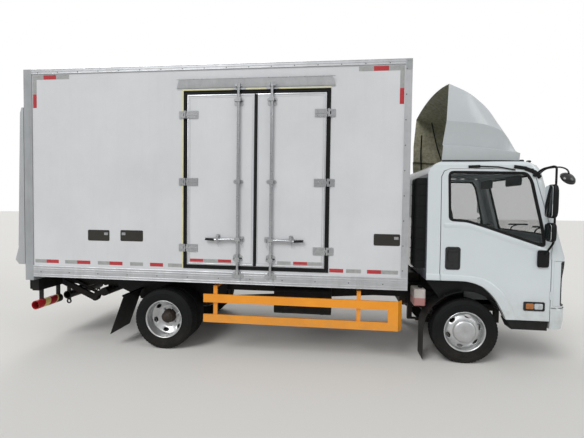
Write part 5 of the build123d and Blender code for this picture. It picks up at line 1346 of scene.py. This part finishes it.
# tail lamps: lens kind, middle's y, width
tail = {"x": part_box("rear_lamp_beam")[0].x, "y": (0.644, 1.038), "z": (0.728, 0.853),
        "lenses": (("red", 0.945, 0.165), ("amber", 0.795, 0.105), ("clear", 0.69, 0.085))}
for kind, y, wide in tail["lenses"]:
    lens = pillow((tail["x"] - 0.002, y, 0.7905), (0.022, wide, 0.104), "x", 6, 3)
    makePiece(f"rear_lamp_{kind}", bothSides(lens), f"{kind}Lens")
corners = np.array(framed(tail["y"], tail["z"], tail["x"]))[:, [1, 0, 2]]
hood = carried(lath(0.006, 0.005, 0.004, -0.008), bent(corners, 0.012, True), (1, 0, 0), True)
makePiece("rear_lamp_shellPart", bothSides(hood), "grainedPlastic")
doorLines = [np.array(framed(span, (1.06, 3.58), portalX + 0.002))[:, [1, 0, 2]]
             for span in ((-1.045, -0.006), (0.006, 1.045))]
rearSeals = [carried(lath(0.008, 0.006, 0.001, -0.006), line, (1, 0, 0), True) for line in doorLines]
makePiece("rear_door_seals", joined(*rearSeals), "sealRubber")
for tone, spans in (("red", ((1.16, 1.33), (1.5, 1.67), (3.36, 3.53))), ("silver", ((1.33, 1.5), (3.19, 3.36)))):
    tape = [plate((portalX - 0.0015, way * 1.098, (z0 + z1) / 2), (0.0015, 0.045, z1 - z0), "x", 0.002, 0.0003)
            for z0, z1 in spans for way in (-1, 1)]
    makePiece(f"rear_{tone}_film", joined(*tape), f"{tone}Film")
makePiece("rear_plate", plate((tail["x"] + 0.029, 0, 0.795), (0.003, 0.52, 0.112), "x", 0.006, 0.001),
          "gelcoatPanel")
bolts = [(portalX - 0.0005, y, z) for y in (-1.085, 1.085) for z in np.arange(1.0, 3.6, 0.32)]
makePiece("rear_frame_bolts", hexHeads(bolts, 0.007, 0.005, (-1, 0, 0)), "zincPlate")

# underrun bars: black with slanting red and yellow-white bands at both outer ends, below z 0.567
# bands by |y| + 0.55 z: tone, middle, reach
underrun = {"top": 0.567, "slant": 0.55, "bands": (("#a8242c", 1.2, 0.24), ("#d9c27c", 1.16, 0.05),
                                                  ("#d9c27c", 0.968, 0.014))}
barTree = made["underrunPaint"].node_tree
spot = objectAxes(barTree)
outY = maths(barTree, "ABSOLUTE", {}, {0: spot["Y"]})
onBar = maths(barTree, "LESS_THAN", {1: underrun["top"]}, {0: spot["Z"]})
slantY = maths(barTree, "MULTIPLY_ADD", {1: underrun["slant"]}, {0: spot["Z"], 2: outY})
slantY = maths(barTree, "MULTIPLY", {}, {0: slantY, 1: onBar})
for tone, centre, reach in underrun["bands"]:
    paintOver(made["underrunPaint"], maths(barTree, "COMPARE", {1: centre, 2: reach}, {0: slantY}), tone)
dress("underrunPaint", "underrun_bar")
print("rear done")


# Under the body: straps, filler cap, spring bolts, frame bolts, pipes; the duct's ribs; fluid in the tank
tankLow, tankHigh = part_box("fuel_tank_and_battery_box")
tank = {"x": (tankLow.x, tankHigh.x), "y": (-0.9, -0.4255), "z": (0.5, 0.85), "fluid": 0.765}
frameSide, boltZ = 0.425, (0.735, 0.845)
fillerCap = [(0.038, -0.004), (0.04, 0.02), (0.034, 0.026), (0, 0.026)]
under = [turnedAbout(fillerCap, (tank["x"][1] - 0.22, -0.82, tank["z"][1]), (0, -0.3, 1), 24)]
for x in (tank["x"][0] + 0.12, tank["x"][1] - 0.12):
    (y0, y1), (z0, z1) = tank["y"], tank["z"]
    loop = [(x, y0, z0), (x, y0, z1), (x, y1 - 0.02, z1), (x, y1 - 0.02, z0)]
    band = [(-0.002, -0.02), (0.003, -0.02), (0.003, 0.02), (-0.002, 0.02)]
    under.append(carried(band, bent(loop, 0.065, True), (1, 0, 0), True))
# each axle's hooped bolts: place, y of its springs, heights
for axleX, y, z0, z1 in ((fa, 0.39, 0.3, 0.415), (middle("rear_wheel_right_tyres").x, 0.5, 0.33, 0.56)):
    hoop = np.array([(axleX, -0.04, z0), (axleX, -0.04, z1), (axleX, 0.04, z1), (axleX, 0.04, z0)])
    under += [tube(hoop + (dx, way * y, 0), 0.008, (1, 0, 0), 0.03, 8) for dx in (-0.055, 0.055) for way in (-1, 1)]
for way in (-1, 1):
    heads = [(x, way * frameSide, z) for x in np.arange(-3.1, 3.1, 0.22) for z in boltZ]
    under.append(hexHeads(heads, 0.009, 0.007, (0, way, 0)))
for y, z in ((-0.4325, 0.8), (-0.4325, 0.782), (0.4325, 0.8)):
    under.append(tube([(-3.15, y, z), (-1.6, y, z), (0.2, y, z + 0.004), (2.9, y, z)], 0.0045, (0, 0, 1), 0.1, 8))
makePiece("straps_bolts_and_pipes", joined(*under), "chassisEnamel")
low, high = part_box("air_intake_duct")
ribs = [carried(lath(0.006, 0.004, 0.001, -0.006),
                bent([(high.x - 0.004, low.y, z), (low.x, low.y, z), (low.x, high.y, z)], 0.045), (0, 0, 1))
        for z in np.arange(low.z + 0.1, high.z - 0.05, 0.135)]
makePiece("duct_ribs", joined(*ribs), "grainedPlastic")
milky = made["milkyTank"].node_tree
paintOver(made["milkyTank"], maths(milky, "LESS_THAN", {1: tank["fluid"]}, {0: objectAxes(milky)["Z"]}), "#b9837f")
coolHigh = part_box("coolant_tank")[1]
coolCap = [(0.03, -0.004), (0.032, 0.018), (0.026, 0.024), (0, 0.024)]
makePiece("coolant_cap", turnedAbout(coolCap, (coolHigh.x - 0.05, -0.7, coolHigh.z), (0, 0, 1), 24),
          "grainedPlastic")
print("underside done")


# Inside of the load space, seen with the doors open, and the leaves' inner seals
load = {"y": 1.048, "x": (-3.24, 1.565), "floor": 1.0585, "roof": 3.598,
        "rails": ((1.135, 0.15), (1.7, 0.06), (2.3, 0.06))}
grooves = [carried(lath(0.012, 0.01, 0.0005, -0.0035), [(x, y, load["floor"]) for x in load["x"]], (0, 0, -1))
           for y in np.arange(-0.96, 0.97, 0.08)]
makePiece("floor_ribs", joined(*grooves), "anodisedRail")
# kick plate and rails: whole on the left wall, either side of the door on the right one
runs = [(load["x"], load["y"] - 0.0035), ((load["x"][0], frameLow.x - 0.01), 0.0035 - load["y"]),
        ((frameHigh.x + 0.01, load["x"][1]), 0.0035 - load["y"])]
kicks = [plate(((a + b) / 2, y, z), (b - a, 0.006, tall), "y", 0.004, 0.002)
         for (a, b), y in runs for z, tall in load["rails"]]
kicks.append(plate((load["x"][1] - 0.0035, 0, 1.135), (0.006, 2.08, 0.15), "x", 0.004, 0.002))
makePiece("load_rails", joined(*kicks), "stainless")
lights = [pillow((x, 0, load["roof"] - 0.012), (0.52, 0.11, 0.034), "z", 5, 3) for x in (-2.3, -0.3, 1.0)]
makePiece("load_lamps", joined(*lights), "clearLens")
innerLip = [(-0.01, -0.001), (-0.009, 0.006), (0.0, 0.01), (0.009, 0.006), (0.01, -0.001)]
for leaf, sign in leaves:
    low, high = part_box(leaf)
    inner = carried(innerLip, bent(ringPath(low, high, high.y, 0.016), 0.03, True), closed=True)
    makePiece(f"{leaf}_inner_seal", inner, "sealRubber", leaf)

# Shoulder under the side windows: a soft crest that fades into the door
shoulder = [(-0.29, 1.718), (-0.02, 1.712), (0.188, 1.652), (0.552, 1.53), (0.77, 1.457), (0.915, 1.408)]
crest = [(-0.05, 0.0006), (-0.038, -0.0012), (-0.022, -0.0048), (-0.006, -0.0078), (0.006, -0.008),
         (0.016, -0.0055), (0.026, 0.0006)]
path = curve([(fa + x, 0, z) for x, z in shoulder], 48)
path[:, 1] = -cabWidth(path[:, 0], path[:, 2])
for side, turn in sides:
    makePiece(f"door_shoulder_{side}", turn(carried(crest, path)), "cabEnamel", f"cab_door_{side}",
              sharp=60)

# Amber lamp at the top of each front corner, upright fins behind the lens
tall = np.array([1.185, 1.23, 1.292])[:, None]
inner = np.interp(tall, headlamp["z"], headlamp["inner"]) + 0.012
y = inner + (headlamp["outer"] - 0.016 - inner) * np.linspace(0, 1, 10)
amber = shell(spots(cabNose(y, tall + 0 * y) - 0.03, y, tall), 0.006)
fins = []
for y in (0.885, 0.915, 0.945):
    x = float(cabNose(y, 1.05))
    outline = [(x - 0.046, 0.8), (x - 0.028, 0.8), (x - 0.028, 1.165), (x - 0.046, 1.165)]
    fins.append(slab(outline, "y", y - 0.0015, y + 0.0015))
for side, turn in leftSides:
    makePiece(f"corner_indicator_{side}", turn(amber), "amberLens", replaces=["headlamps"])
    makePiece(f"lamp_fins_{side}", turn(joined(*fins)), "silveredGlass", replaces=["headlamps"])
print("load space and shoulders done")
